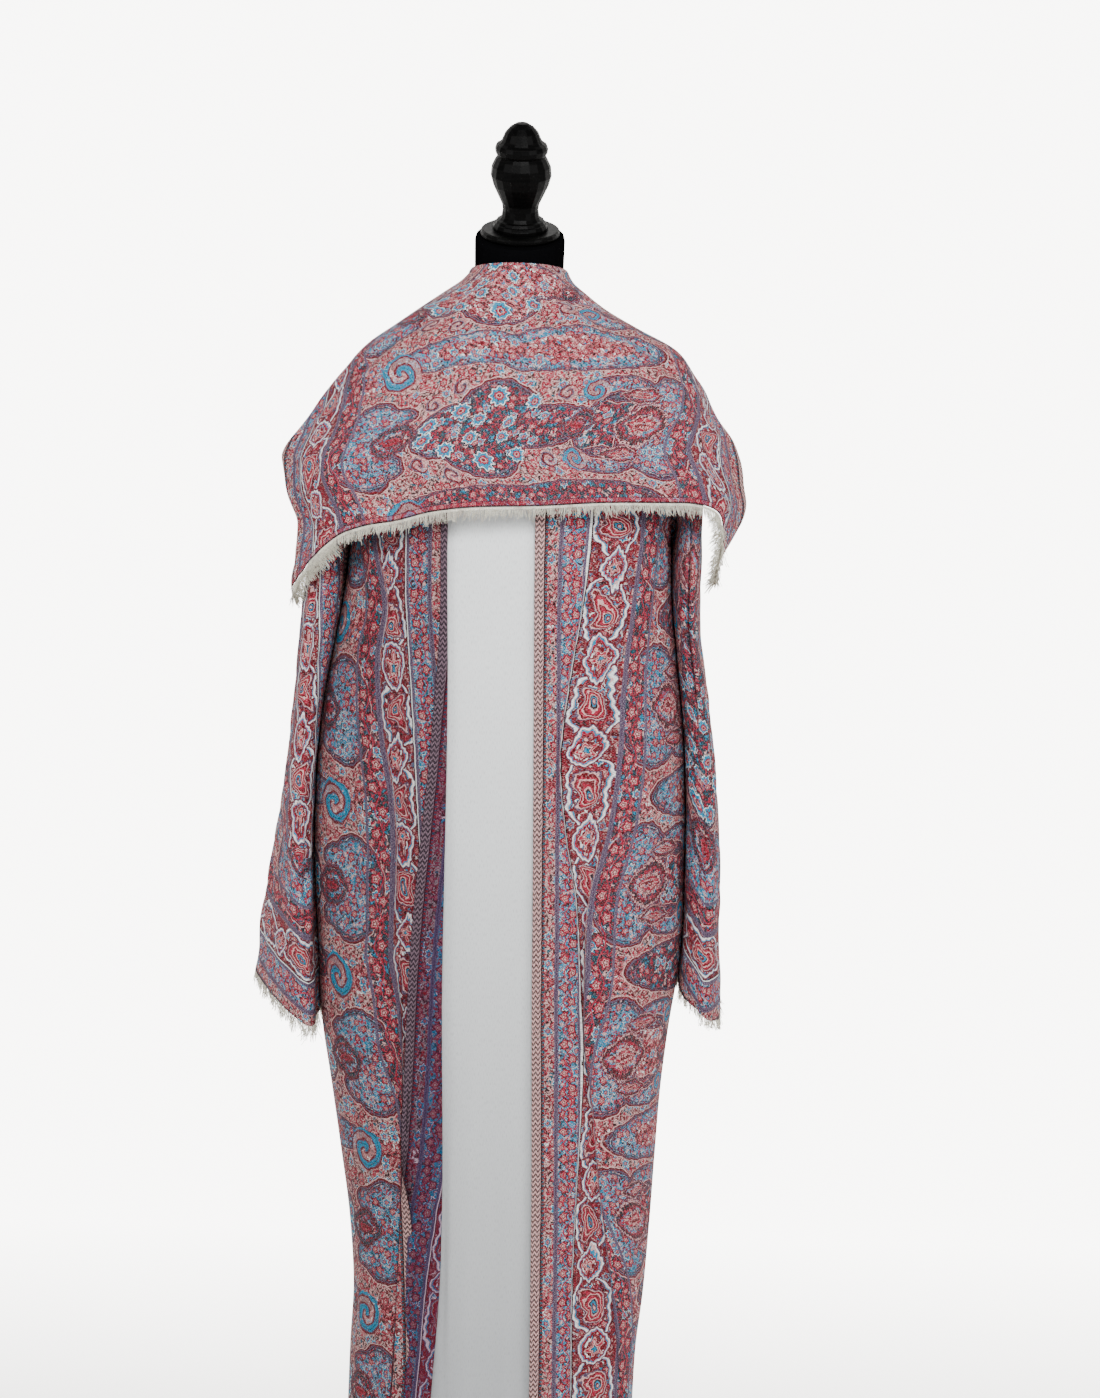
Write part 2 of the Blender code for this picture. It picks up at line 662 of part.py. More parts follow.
# Cap disc and finial stand square to the sloping neck
tilt = Matrix.Rotation(CAP_TILT, 4, "X")
cap_profile = [
    (CAP_THICK, 0.0),
    (CAP_THICK, CAP_RADIUS - 0.0030),
    (CAP_THICK - 0.0012, CAP_RADIUS - 0.0008),
    (CAP_THICK - 0.0035, CAP_RADIUS),
    (0.0025, CAP_RADIUS),
    (0.0006, CAP_RADIUS - 0.0012),
    (0.0, CAP_RADIUS - 0.0030),
    (0.0, 0.0),
]
cap = turned("form_cap", cap_profile, WOOD, 32)
cap.matrix_world = Matrix.Translation((0.0, 0.0, NECK_TOP_Z + 0.0004)) @ tilt
finial = turned("form_finial", FINIAL, WOOD, 20)
finial.matrix_world = cap.matrix_world @ Matrix.Translation((0.0, 0.0, CAP_THICK))

# Pole and base
pole_profile = [
    (TORSO[0][0] - 0.0004, 0.0),
    (TORSO[0][0] - 0.0004, POLE_RADIUS),
    (BASE_HEIGHT + 0.0004, POLE_RADIUS),
    (BASE_HEIGHT + 0.0004, 0.0),
]
turned("form_pole", pole_profile, WOOD, 20)
base_profile = [
    (BASE_HEIGHT, 0.0),
    (BASE_HEIGHT, 0.030),
    (BASE_HEIGHT - 0.003, 0.036),
    (0.019, 0.060),
    (0.017, BASE_RADIUS - 0.012),
    (0.013, BASE_RADIUS - 0.003),
    (0.007, BASE_RADIUS),
    (0.0, BASE_RADIUS - 0.002),
    (0.0, 0.0),
]
turned("form_base", base_profile, WOOD, 32)
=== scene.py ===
"""Looks of an open-front abaya of paisley shawl cloth on a black dress form.

Metres, +Z up, the front faces -Y and the viewer's right is +X.
"""
import math

import bmesh
import bpy
from mathutils import Matrix, Vector, noise as cloth_noise


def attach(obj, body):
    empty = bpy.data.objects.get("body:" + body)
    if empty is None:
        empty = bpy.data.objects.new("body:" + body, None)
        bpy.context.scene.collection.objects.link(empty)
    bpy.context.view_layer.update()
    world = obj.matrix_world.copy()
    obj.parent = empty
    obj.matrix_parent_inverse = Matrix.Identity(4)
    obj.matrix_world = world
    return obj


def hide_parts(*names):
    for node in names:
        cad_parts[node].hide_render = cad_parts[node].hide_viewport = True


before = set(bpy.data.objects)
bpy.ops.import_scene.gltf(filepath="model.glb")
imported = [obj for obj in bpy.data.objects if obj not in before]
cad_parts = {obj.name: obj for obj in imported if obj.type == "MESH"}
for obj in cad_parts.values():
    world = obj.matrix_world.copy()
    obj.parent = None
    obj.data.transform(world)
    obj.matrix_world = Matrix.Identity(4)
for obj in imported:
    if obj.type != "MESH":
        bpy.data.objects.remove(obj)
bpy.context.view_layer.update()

# Robe
WALL = 0.0012
ROUND = 0.87
HEM_Z = 0.035
ROBE_TOP = 1.507
PANEL_TOP = 1.35
PANEL_OVERLAP = 0.055
ARMHOLE_Z = 1.325
ARMHOLE_HALF_HEIGHT = 0.100
ARMHOLE_HALF_DEPTH = 0.066
SEAM_GAP = 0.0004
FOLD_RADIUS = 0.0022
LAP_GAP = 0.0015
LAP_SWELL = 0.022
LAP_DIP = 0.010
FOLD_FADE = 0.15
ROW_STEP = 0.0062

# Steps across each stretch of cloth
EDGE_STEPS = 18
MIDDLE_STEPS = 16
SIDE_STEPS = 42
BAND_STEPS = 22
BACK_STEPS = 96
PANEL_STEPS = 60

# Farthest places of the laps as shares of a front's width, and the dip under a lap as a share of its depth
INNER_LAP_SHARE = 0.45
OUTER_LAP_SHARE = 0.80
LEFT_LAP_SHARE = 0.7
LAP_UNDER = 0.6

# Inner panel: its distance behind the fronts, its hollow, and the waves of its lower part
PANEL_GAP = 0.0042
PANEL_HOLLOW = 0.0050
PANEL_WAVE = 0.0030
PANEL_WAVE_SHIFT = 0.02
PANEL_WAVE_RATE = 110
PANEL_WAVE_TOP = 1.1

# Flat cloth: its width, its place on the robe, and the ends of the scalloped band from a selvedge
CLOTH_WIDTH = 0.710
ROBE_COORDINATE = 1.189
ROBE_COORDINATE_Z = 1.08
ROBE_RATE = 0.90
LEFT_SHIFT = 0.015
RIGHT_SELVEDGE = 0.001
LEFT_SELVEDGE = 0.0005
BAND_START = 0.066
BAND_END = 0.114

# Collar and sleeves
COLLAR_WRAP = 168
COLLAR_STEPS = 230
COLLAR_DROPS = 104
DROP_SPACING = 1.15
SELVEDGE_ANGLE = 90
RIPPLE_REACH = 14
RIPPLE_HEIGHT = 0.003
RIPPLE_RATE = 75.0
RIPPLE_MIDDLE = 1.20
SLEEVE_STEPS = 84
SLEEVE_ROWS = 116
SLEEVE_REST = 0.0026
SLEEVE_RATE = 0.86
UPPER_CLOTH = 0.205
SLEEVE_FREE_Z = 1.31
SLEEVE_FREE_RUN = 0.07
SLEEVE_START = 0.020

# Wide rows of the collar on the flat cloth, measured from its middle
EASED_HALF = 0.31
EASE_START = 0.25
EDGE_STRIPE = 0.030
EDGE_STRIPE_START = 0.341

# Upper left sleeve: a cloth coordinate of its front, how far left the front is there, and the change with x
UPPER_FRONT = 0.063
UPPER_FRONT_X = 0.238
UPPER_FRONT_RATE = 1.17

# Loose cloth's hollows and swells: width, height, depth
LARGE_SLACK = (0.030, 0.140, 0.0030)
SMALL_SLACK = (0.012, 0.050, 0.0012)
COLLAR_SLACK = (0.020, 0.030, 0.0014)
SLEEVE_SLACK = (0.022, 0.045, 0.0036)

# Studio and camera
STUDIO_LIGHT = 2.1
BACKDROP_GLOW = 7.2
BACKDROP_SPILL = 1.0
WALL_GLOW = 8.4
WALL_BLEND = 0.6
SWEEP_HALF_WIDTH = 6.0
SWEEP_FRONT = -6.0
SWEEP_TOP = 6.0
FLOOR_END = 0.9
SWEEP_RADIUS = 1.2
SWEEP_STEPS = 16
CAMERA_PLACE = Vector((0.0535, -3.2, 1.35))
CAMERA_TARGET = Vector((0.0535, -0.1, 1.0))
CAMERA_ROLL = math.radians(1.517)
CAMERA_LENS = 64.04

# Robe rings: z, left half width, right half width, front depth, back depth
ROBE = [
    (0.035, 0.191, 0.187, 0.120, 0.122),
    (0.130, 0.189, 0.190, 0.120, 0.122),
    (0.200, 0.186, 0.197, 0.121, 0.123),
    (0.300, 0.193, 0.203, 0.123, 0.125),
    (0.390, 0.206, 0.207, 0.125, 0.127),
    (0.485, 0.221, 0.212, 0.127, 0.130),
    (0.565, 0.234, 0.220, 0.130, 0.133),
    (0.650, 0.239, 0.231, 0.134, 0.137),
    (0.800, 0.247, 0.233, 0.138, 0.141),
    (0.950, 0.241, 0.226, 0.141, 0.141),
    (1.050, 0.226, 0.214, 0.143, 0.138),
    (1.120, 0.214, 0.206, 0.144, 0.134),
    (1.200, 0.206, 0.203, 0.142, 0.128),
    (1.300, 0.203, 0.203, 0.129, 0.118),
    (1.380, 0.201, 0.202, 0.112, 0.106),
    (1.420, 0.194, 0.197, 0.100, 0.097),
    (1.440, 0.178, 0.184, 0.092, 0.091),
    (1.4622, 0.150, 0.150, 0.083, 0.084),
    (1.4828, 0.1205, 0.1115, 0.075, 0.077),
    (1.500, 0.086, 0.084, 0.069, 0.071),
    (1.507, 0.070, 0.069, 0.066, 0.068),
]

# Collar rings: z, left half width, right half width, front depth, back depth, end angle left, end angle right
COLLAR = [
    (1.110, 0.282, 0.255, 0.160, 0.132, 88, 92),
    (1.160, 0.278, 0.265, 0.163, 0.136, 88, 91),
    (1.212, 0.272, 0.283, 0.163, 0.140, 89, 88),
    (1.250, 0.287, 0.295, 0.160, 0.140, 88, 86),
    (1.294, 0.293, 0.286, 0.156, 0.138, 87, 88),
    (1.327, 0.2735, 0.275, 0.151, 0.134, 92, 91),
    (1.365, 0.246, 0.252, 0.143, 0.126, 103, 101),
    (1.404, 0.2175, 0.2295, 0.133, 0.118, 118, 114),
    (1.440, 0.188, 0.201, 0.119, 0.108, 137, 132),
    (1.465, 0.1525, 0.1535, 0.105, 0.098, 156, 156),
    (1.486, 0.1225, 0.1145, 0.092, 0.088, 165, 165),
    (1.507, 0.092, 0.086, 0.079, 0.077, 167, 167),
    (1.520, 0.073, 0.070, 0.071, 0.070, 168, 168),
    (1.529, 0.064, 0.064, 0.066, 0.066, 168, 168),
]

# Height of the collar's hem: angle from the front, z
COLLAR_HEM = [
    (-92, 1.110),
    (-75, 1.138),
    (-62, 1.169),
    (-52, 1.1945),
    (-40, 1.211),
    (-27, 1.221),
    (-18, 1.232),
    (-8, 1.239),
    (4, 1.243),
    (18, 1.2485),
    (34, 1.250),
    (48, 1.249),
    (60, 1.2375),
    (68, 1.215),
    (76, 1.185),
    (84, 1.162),
    (92, 1.150),
]

# Inner edges of the fronts: z, left x, right x
FRONT_EDGES = [
    (0.035, -0.0800, 0.0510),
    (0.107, -0.0760, 0.0503),
    (0.236, -0.0686, 0.0483),
    (0.367, -0.0676, 0.0465),
    (0.625, -0.0731, 0.0405),
    (0.752, -0.0733, 0.0385),
    (1.000, -0.0738, 0.0335),
    (1.213, -0.0783, 0.0295),
    (1.400, -0.0700, 0.0295),
    (1.507, -0.0420, 0.0290),
]

# Left front's turned edge: z, width of the strip, width of the flap on it, turn of the flap in degrees
TURNED_EDGE = [
    (0.035, 0.050, 0.026, 176),
    (0.105, 0.048, 0.027, 176),
    (0.234, 0.052, 0.020, 172),
    (0.340, 0.050, 0.012, 150),
    (0.400, 0.048, 0.007, 75),
    (0.450, 0.046, 0.006, 20),
    (0.545, 0.041, 0.006, 0),
    (0.711, 0.033, 0.006, 0),
    (0.950, 0.015, 0.005, 0),
    (1.125, 0.006, 0.002, 0),
    (1.507, 0.006, 0.002, 0),
]

# Right front's two laps: z, x of the inner lap, x of the outer one, cloth coordinate just right of it
RIGHT_LAPS = [
    (0.035, 0.1060, 0.1720, 0.114),
    (0.112, 0.1039, 0.1678, 0.115),
    (0.237, 0.1017, 0.1539, 0.122),
    (0.367, 0.1039, 0.1349, 0.156),
    (0.497, 0.1072, 0.1198, 0.154),
    (0.551, 0.1070, 0.1108, 0.140),
    (0.626, 0.1018, 0.1075, 0.118),
    (0.753, 0.0926, 0.1101, 0.114),
    (0.835, 0.0779, 0.1290, 0.114),
    (0.932, 0.0684, 0.1398, 0.114),
    (1.019, 0.0764, 0.1419, 0.114),
    (1.130, 0.0920, 0.1525, 0.114),
    (1.229, 0.1001, 0.1611, 0.114),
    (1.507, 0.1050, 0.1400, 0.114),
]

# Left front's lap: z, x of the lap, cloth coordinate just left of it
LEFT_LAP = [
    (0.035, -0.1320, 0.156),
    (0.280, -0.1230, 0.156),
    (0.400, -0.1215, 0.155),
    (0.470, -0.1220, 0.146),
    (0.540, -0.1230, 0.122),
    (0.607, -0.1265, 0.116),
    (0.670, -0.1360, 0.114),
    (0.800, -0.1350, 0.114),
    (0.870, -0.1390, 0.114),
    (0.950, -0.1530, 0.114),
    (1.050, -0.1600, 0.114),
    (1.110, -0.1520, 0.114),
    (1.200, -0.1690, 0.114),
    (1.507, -0.1600, 0.114),
]

# Depth of the laps: z, right inner, right outer, left
LAP_DEPTH = [
    (0.035, 0.0020, 0.0030, 0.0040),
    (0.240, 0.0015, 0.0040, 0.0050),
    (0.400, 0.0010, 0.0052, 0.0058),
    (0.550, 0.0012, 0.0058, 0.0050),
    (0.700, 0.0022, 0.0050, 0.0035),
    (0.840, 0.0040, 0.0022, 0.0032),
    (0.950, 0.0042, 0.0014, 0.0030),
    (1.080, 0.0024, 0.0010, 0.0036),
    (1.200, 0.0008, 0.0010, 0.0030),
    (1.507, 0.0004, 0.0004, 0.0010),
]

# Long folds of the fronts: top z, top x, bottom z, bottom x, half width, depth
FRONT_FOLDS = [
    (1.20, 0.064, 0.30, 0.078, 0.022, 0.0045),
    (1.00, 0.150, 0.58, 0.100, 0.022, 0.0060),
    (0.62, 0.104, 0.05, 0.166, 0.022, 0.0060),
    (0.92, 0.185, 0.10, 0.150, 0.022, -0.0040),
    (1.12, -0.150, 0.30, -0.128, 0.022, 0.0065),
    (0.85, -0.190, 0.10, -0.155, 0.024, -0.0045),
    (1.10, -0.195, 0.62, -0.205, 0.020, 0.0050),
]

# Finer creases of the fronts, the same columns
FRONT_CREASES = [
    (1.16, 0.131, 0.86, 0.118, 0.0060, 0.0024),
    (1.12, 0.172, 0.90, 0.160, 0.0070, 0.0039),
    (1.22, 0.190, 1.02, 0.182, 0.0060, 0.0045),
    (0.96, 0.205, 0.70, 0.178, 0.0080, 0.0033),
    (0.86, 0.160, 0.62, 0.128, 0.0075, -0.0027),
    (0.80, 0.196, 0.58, 0.214, 0.0090, 0.0030),
    (0.60, 0.150, 0.28, 0.176, 0.0080, -0.0030),
    (0.52, 0.184, 0.20, 0.188, 0.0070, 0.0024),
    (0.34, 0.128, 0.06, 0.137, 0.0070, 0.0021),
    (0.90, 0.046, 0.40, 0.058, 0.0060, 0.0012),
    (1.19, -0.112, 0.86, -0.103, 0.0070, 0.0021),
    (1.18, -0.186, 0.98, -0.176, 0.0060, 0.0048),
    (1.06, -0.176, 0.80, -0.168, 0.0075, -0.0036),
    (0.93, -0.205, 0.70, -0.178, 0.0090, 0.0039),
    (0.86, -0.158, 0.60, -0.146, 0.0060, 0.0033),
    (0.76, -0.214, 0.56, -0.196, 0.0080, -0.0033),
    (0.66, -0.168, 0.42, -0.150, 0.0075, -0.0033),
    (0.54, -0.196, 0.30, -0.168, 0.0080, 0.0033),
    (0.38, -0.146, 0.06, -0.156, 0.0060, 0.0033),
    (0.30, -0.172, 0.05, -0.176, 0.0070, -0.0024),
]

# Long folds of the back, the same columns
BACK_FOLDS = [
    (1.30, -0.055, 0.05, -0.075, 0.030, 0.0080),
    (1.25, 0.070, 0.05, 0.090, 0.030, 0.0080),
    (1.10, 0.005, 0.05, 0.010, 0.034, -0.0050),
    (1.00, -0.140, 0.05, -0.135, 0.028, 0.0060),
]

# Finer creases of the back, the same columns
BACK_CREASES = [
    (1.22, -0.020, 0.84, -0.034, 0.0080, 0.0033),
    (1.16, 0.034, 0.52, 0.044, 0.0075, -0.0027),
    (1.08, 0.112, 0.66, 0.128, 0.0085, 0.0036),
    (1.26, 0.152, 0.98, 0.146, 0.0070, 0.0042),
    (1.24, -0.162, 0.92, -0.150, 0.0075, 0.0039),
    (0.94, -0.092, 0.30, -0.104, 0.0085, -0.0033),
    (0.78, 0.156, 0.16, 0.160, 0.0080, -0.0030),
    (0.62, -0.018, 0.10, -0.012, 0.0070, 0.0027),
    (0.56, 0.064, 0.06, 0.060, 0.0080, 0.0030),
    (0.48, -0.168, 0.08, -0.160, 0.0075, 0.0027),
]

# Collar's creases: top z, angle, bottom z, angle, half width in degrees, depth
COLLAR_CREASES = [
    (1.500, -38, 1.385, -66, 5.0, 0.0062),
    (1.505, -22, 1.400, -40, 5.0, -0.0044),
    (1.500, 36, 1.390, 62, 5.0, 0.0056),
    (1.508, 8, 1.455, 16, 3.0, 0.0060),
    (1.500, 24, 1.420, 34, 4.5, -0.0040),
    (1.478, -10, 1.436, 4, 5.0, 0.0036),
    (1.462, -30, 1.380, -24, 6.0, 0.0030),
    (1.430, -74, 1.180, -70, 3.5, 0.0052),
    (1.400, -82, 1.160, -79, 2.6, -0.0044),
    (1.380, 76, 1.240, 73, 3.5, 0.0046),
    (1.350, 83, 1.200, 81, 2.6, -0.0042),
    (1.400, -58, 1.200, -53, 3.5, 0.0030),
    (1.370, 60, 1.250, 57, 3.5, 0.0028),
    (1.360, -46, 1.230, -42, 4.5, -0.0022),
    (1.400, -8, 1.290, -11, 6.0, 0.0020),
    (1.380, 20, 1.280, 22, 6.0, -0.0018),
    (1.470, 120, 1.400, 108, 5.0, 0.0030),
    (1.480, 145, 1.420, 128, 5.0, -0.0022),
    (1.470, -122, 1.400, -110, 5.0, 0.0030),
    (1.480, -148, 1.420, -130, 5.0, -0.0022),
    (1.512, 30, 1.490, 41, 2.2, 0.0048),
    (1.508, 46, 1.484, 56, 3.0, -0.0030),
]

# Left sleeve rings below the armhole: z, middle x, outer half axis x and z, front half axis x, y and z
LEFT_SLEEVE = [
    (1.3090, -0.2100, -0.0015, 0.0830, 0.0000, -0.0660, 0.0000),
    (1.2875, -0.2180, -0.0065, 0.0725, 0.0000, -0.0690, 0.0000),
    (1.2600, -0.2255, -0.0125, 0.0570, 0.0000, -0.0710, 0.0000),
    (1.2260, -0.2310, -0.0160, 0.0400, 0.0000, -0.0720, 0.0000),
    (1.1750, -0.2370, -0.0190, 0.0180, 0.0000, -0.0720, 0.0000),
    (1.1050, -0.2435, -0.0235, 0.0040, 0.0020, -0.0720, 0.0000),
    (1.0050, -0.2560, -0.0195, 0.0000, 0.0030, -0.0720, 0.0000),
    (0.9000, -0.2670, -0.0175, 0.0000, 0.0060, -0.0710, 0.0000),
    (0.8000, -0.2765, -0.0190, 0.0000, 0.0160, -0.0700, -0.0020),
    (0.7000, -0.2835, -0.0200, 0.0040, 0.0290, -0.0690, -0.0100),
    (0.5850, -0.2860, -0.0200, 0.0100, 0.0380, -0.0680, -0.0200),
]

# Right sleeve rings, the same columns
RIGHT_SLEEVE = [
    (1.3090, 0.2105, 0.0015, 0.0830, 0.0000, -0.0660, 0.0000),
    (1.2875, 0.2180, 0.0065, 0.0725, 0.0000, -0.0690, 0.0000),
    (1.2600, 0.2250, 0.0115, 0.0570, 0.0000, -0.0710, 0.0000),
    (1.2260, 0.2285, 0.0140, 0.0400, 0.0000, -0.0720, 0.0000),
    (1.1750, 0.2275, 0.0145, 0.0180, 0.0000, -0.0720, 0.0000),
    (1.1050, 0.2270, 0.0150, 0.0040, 0.0000, -0.0720, 0.0000),
    (1.0050, 0.2400, 0.0165, 0.0000, 0.0000, -0.0720, 0.0000),
    (0.9000, 0.2520, 0.0180, 0.0000, 0.0000, -0.0720, 0.0000),
    (0.8000, 0.2580, 0.0200, 0.0000, -0.0010, -0.0730, 0.0000),
    (0.7000, 0.2610, 0.0220, -0.0080, -0.0020, -0.0740, -0.0060),
    (0.6040, 0.2645, 0.0225, -0.0200, -0.0040, -0.0750, -0.0120),
]

# Inner panel's soft creases, the same columns as the fronts' folds
PANEL_CREASES = [
    (1.10, -0.0075, 0.86, -0.0085, 0.0040, 0.0010),
    (0.62, -0.020, 0.05, -0.012, 0.0140, -0.0016),
    (0.42, -0.066, 0.05, -0.060, 0.0030, 0.0022),
    (0.90, 0.016, 0.30, 0.024, 0.0100, 0.0012),
]

# Sleeves' creases: start and end as shares of the length, turn at each, half width in degrees, depth
LEFT_SLEEVE_CREASES = [
    (0.02, 0.40, 74, 62, 6, 0.0090),
    (0.12, 0.44, 92, 70, 12, 0.0050),
    (0.20, 0.52, 60, 96, 9, 0.0040),
    (0.36, 0.70, 112, 80, 11, 0.0046),
    (0.50, 0.86, 66, 104, 10, 0.0042),
    (0.62, 0.98, 120, 92, 9, 0.0034),
    (0.14, 0.60, -80, -100, 12, 0.0044),
    (0.46, 0.92, -112, -78, 11, 0.0044),
]
RIGHT_SLEEVE_CREASES = [
    (-0.02, 0.56, 104, 96, 6, 0.0080),
    (0.12, 0.42, 88, 112, 12, 0.0050),
    (0.22, 0.56, 118, 84, 9, 0.0042),
    (0.38, 0.74, 70, 100, 11, 0.0046),
    (0.52, 0.88, 110, 76, 10, 0.0040),
    (0.60, 0.96, 62, 88, 9, 0.0032),
    (0.16, 0.62, -84, -104, 12, 0.0044),
    (0.48, 0.94, -110, -76, 11, 0.0044),
]

# Collar's rows inside the neck, where it is turned in: half width, half depth, z, rise at the front
NECK_ROWS = (
    (0.0584, 0.0584, 1.516, 0.006),
    (0.0584, 0.0584, 1.523, 0.006),
    (0.0584, 0.0584, 1.530, 0.006),
    (0.0592, 0.0594, 1.5337, 0.0062),
    (0.0610, 0.0616, 1.5345, 0.0065),
    (0.0625, 0.0638, 1.5325, 0.0065),
)


def read(table, height, column):
    """Value of a column at a height, smooth between the table's rows."""
    rows = table if table[0][0] < table[-1][0] else table[::-1]
    if height <= rows[0][0]:
        return rows[0][column]
    if height >= rows[-1][0]:
        return rows[-1][column]
    i = max(k for k in range(len(rows) - 1) if rows[k][0] <= height)
    x0, x1 = rows[i][0], rows[i + 1][0]
    y0, y1 = rows[i][column], rows[i + 1][column]
    before = rows[max(i - 1, 0)]
    after = rows[min(i + 2, len(rows) - 1)]
    slope = (y1 - y0) / (x1 - x0)
    m0 = 0.5 * (slope + (y0 - before[column]) / (x0 - before[0])) if i > 0 else slope
    m1 = 0.5 * (slope + (after[column] - y1) / (after[0] - x1)) if i + 2 < len(rows) else slope
    if (y1 - y0) * m0 <= 0:
        m0 = 0.0
    if (y1 - y0) * m1 <= 0:
        m1 = 0.0
    t = (height - x0) / (x1 - x0)
    h = x1 - x0
    return (
        y0 * (1 + 2 * t) * (1 - t) ** 2
        + m0 * h * t * (1 - t) ** 2
        + y1 * t * t * (3 - 2 * t)
        - m1 * h * t * t * (1 - t)
    )


# Shape of the robe
def robe_side(side, y, z):
    """Distance of the robe's side from the middle, at a depth y and a height."""
    width = read(ROBE, z, 2 if side > 0 else 1)
    depth = read(ROBE, z, 3 if y < 0 else 4)
    bend = min(1.0, abs(y) / depth) ** (1 / ROUND)
    return width * (1 - bend * bend) ** (ROUND / 2)


def power(value):
    return math.copysign(abs(value) ** ROUND, value)


def ring_point(table, angle, z):
    """Point on a ring: angle 0 is the front, +90 the viewer's right."""
    s = math.sin(math.radians(angle))
    c = math.cos(math.radians(angle))
    width = read(table, z, 2 if s >= 0 else 1)
    depth = read(table, z, 3 if c >= 0 else 4)
    return Vector((width * power(s), -depth * power(c), z))


def front_angle(x, z):
    """Angle on the robe's front at a distance x from the middle."""
    width = read(ROBE, z, 2 if x >= 0 else 1)
    return math.degrees(math.asin(math.copysign(min(1.0, (abs(x) / width) ** (1 / ROUND)), x)))


def side_angle(z, column, sign):
    """Angle where a front or the back ends: at the side seam, or at the armhole."""
    rise = (z - ARMHOLE_Z) / ARMHOLE_HALF_HEIGHT
    y = ARMHOLE_HALF_DEPTH * math.sqrt(max(0.0, 1 - rise * rise))
    y = max(y, SEAM_GAP / 2)
    away = math.degrees(math.acos(min(1.0, (y / read(ROBE, z, column)) ** (1 / ROUND))))
    return sign * (away if column == 3 else 180 - away)


def fold_depth(x, z, folds):
    """How far folds and creases push the cloth inward at x, z. They fade at both ends."""
    total = 0.0
    for top_z, top_x, low_z, low_x, half_width, depth in folds:
        t = (top_z - z) / (top_z - low_z)
        if -FOLD_FADE < t < 1 + FOLD_FADE:
            line = top_x + (low_x - top_x) * t
            away = (x - line) / half_width
            if abs(away) < 3:
                from_top = (t + FOLD_FADE) / (2 * FOLD_FADE)
                from_end = (1 + FOLD_FADE - t) / (2 * FOLD_FADE)
                fade = min(1.0, max(0.0, from_top), max(0.0, from_end))
                total += depth * fade * math.exp(-away * away)
    return total


def lap_depth(away, depth):
    """Cloth at a lap: it stands proud where away is positive and dips under where it is negative."""
    if away > -0.00001:
        return -depth * math.exp(-away / LAP_SWELL)
    return LAP_UNDER * depth * math.exp(away / LAP_DIP)


def slack(x, z, size):
    """Small uneven hollows and swells of loose cloth."""
    wide, tall, depth = size
    return depth * cloth_noise.noise(Vector((x / wide, z / tall, 3.7)))


def robe_point(angle, z):
    """Point on the robe, with its folds, creases and laps."""
    point = ring_point(ROBE, angle, z)
    facing = math.cos(math.radians(angle))
    loose = slack(point.x, z, LARGE_SLACK) + slack(point.x + 0.4 * z, z, SMALL_SLACK)
    if facing > 0:
        push = fold_depth(point.x, z, FRONT_FOLDS) + fold_depth(point.x, z, FRONT_CREASES) + loose
        if point.x > 0:
            push += lap_depth(point.x - read(RIGHT_LAPS, z, 1), read(LAP_DEPTH, z, 1))
            push += lap_depth(point.x - read(RIGHT_LAPS, z, 2), read(LAP_DEPTH, z, 2))
        else:
            push += lap_depth(read(LEFT_LAP, z, 1) - point.x, read(LAP_DEPTH, z, 3))
        point.y += push * math.sqrt(facing)
    else:
        push = fold_depth(point.x, z, BACK_FOLDS) + fold_depth(point.x, z, BACK_CREASES) + loose
        point.y -= push * math.sqrt(-facing)
    return point


# Rows of points, and their places on the flat cloth
def steps_to(first, last, steps):
    """Even values from first to last."""
    return [first + (last - first) * k / steps for k in range(steps)] + [last]


def row_heights(low, high):
    count = max(2, round((high - low) / ROW_STEP))
    return [low + (high - low) * k / count for k in range(count + 1)]


def lengths(row):
    """Distance along a row of points from its first one."""
    total = [0.0]
    for a, b in zip(row, row[1:]):
        total.append(total[-1] + (b - a).length)
    return total


def heights_up(rows):
    """Length of cloth from the last row up to each row, at each of its points."""
    upward = rows[::-1]
    heights = [[0.0] * len(rows[0])]
    for below, above in zip(upward, upward[1:]):
        heights.append([h + (a - b).length for h, a, b in zip(heights[-1], above, below)])
    return heights[::-1]


def cloth_run(row, first, last):
    """Cloth coordinate along a row: the true distance where some cloth is hidden, else spread to the last."""
    run = lengths(row)
    rate = min(1.0, (last - first) / run[-1]) if last > first else 1.0
    return [first + rate * d for d in run]


def robe_height(z):
    """Cloth coordinate up the robe."""
    return ROBE_COORDINATE + (z - ROBE_COORDINATE_Z) * ROBE_RATE


def put(title, data):
    """Object in the scene for a mesh, a light or a camera."""
    item = bpy.data.objects.new(title, data)
    bpy.context.scene.collection.objects.link(item)
    return item


def cloth_piece(name, rows, coordinates, materials, closed=False, upper=None):
    """Cloth shell: a grid of points with its place on the flat cloth as its UV map."""
    mesh = bpy.data.meshes.new(name)
    wide = len(rows[0])
    points = [tuple(p) for row in rows for p in row]
    faces = []
    uvs = []
    for r in range(len(rows) - 1):
        for c in range(wide if closed else wide - 1):
            d = (c + 1) % wide
            faces.append((r * wide + c, r * wide + d, (r + 1) * wide + d, (r + 1) * wide + c))
            other = upper is not None and coordinates[r][c][0] > UPPER_CLOTH
            for i, k in ((r, c), (r, c + 1), (r + 1, c + 1), (r + 1, c)):
                uvs.extend(upper[i][k] if other else coordinates[i][k])
    mesh.from_pydata(points, [], faces)
    mesh.uv_layers.new(name="cloth").data.foreach_set("uv", uvs)
    mesh.update()
    mesh.shade_smooth()
    item = put(name, mesh)
    for material in materials:
        mesh.materials.append(material)
    solid = item.modifiers.new("Wall", "SOLIDIFY")
    solid.thickness = WALL
    solid.offset = 0.0
    solid.use_even_offset = False
    solid.material_offset = len(materials) - 1
    return item


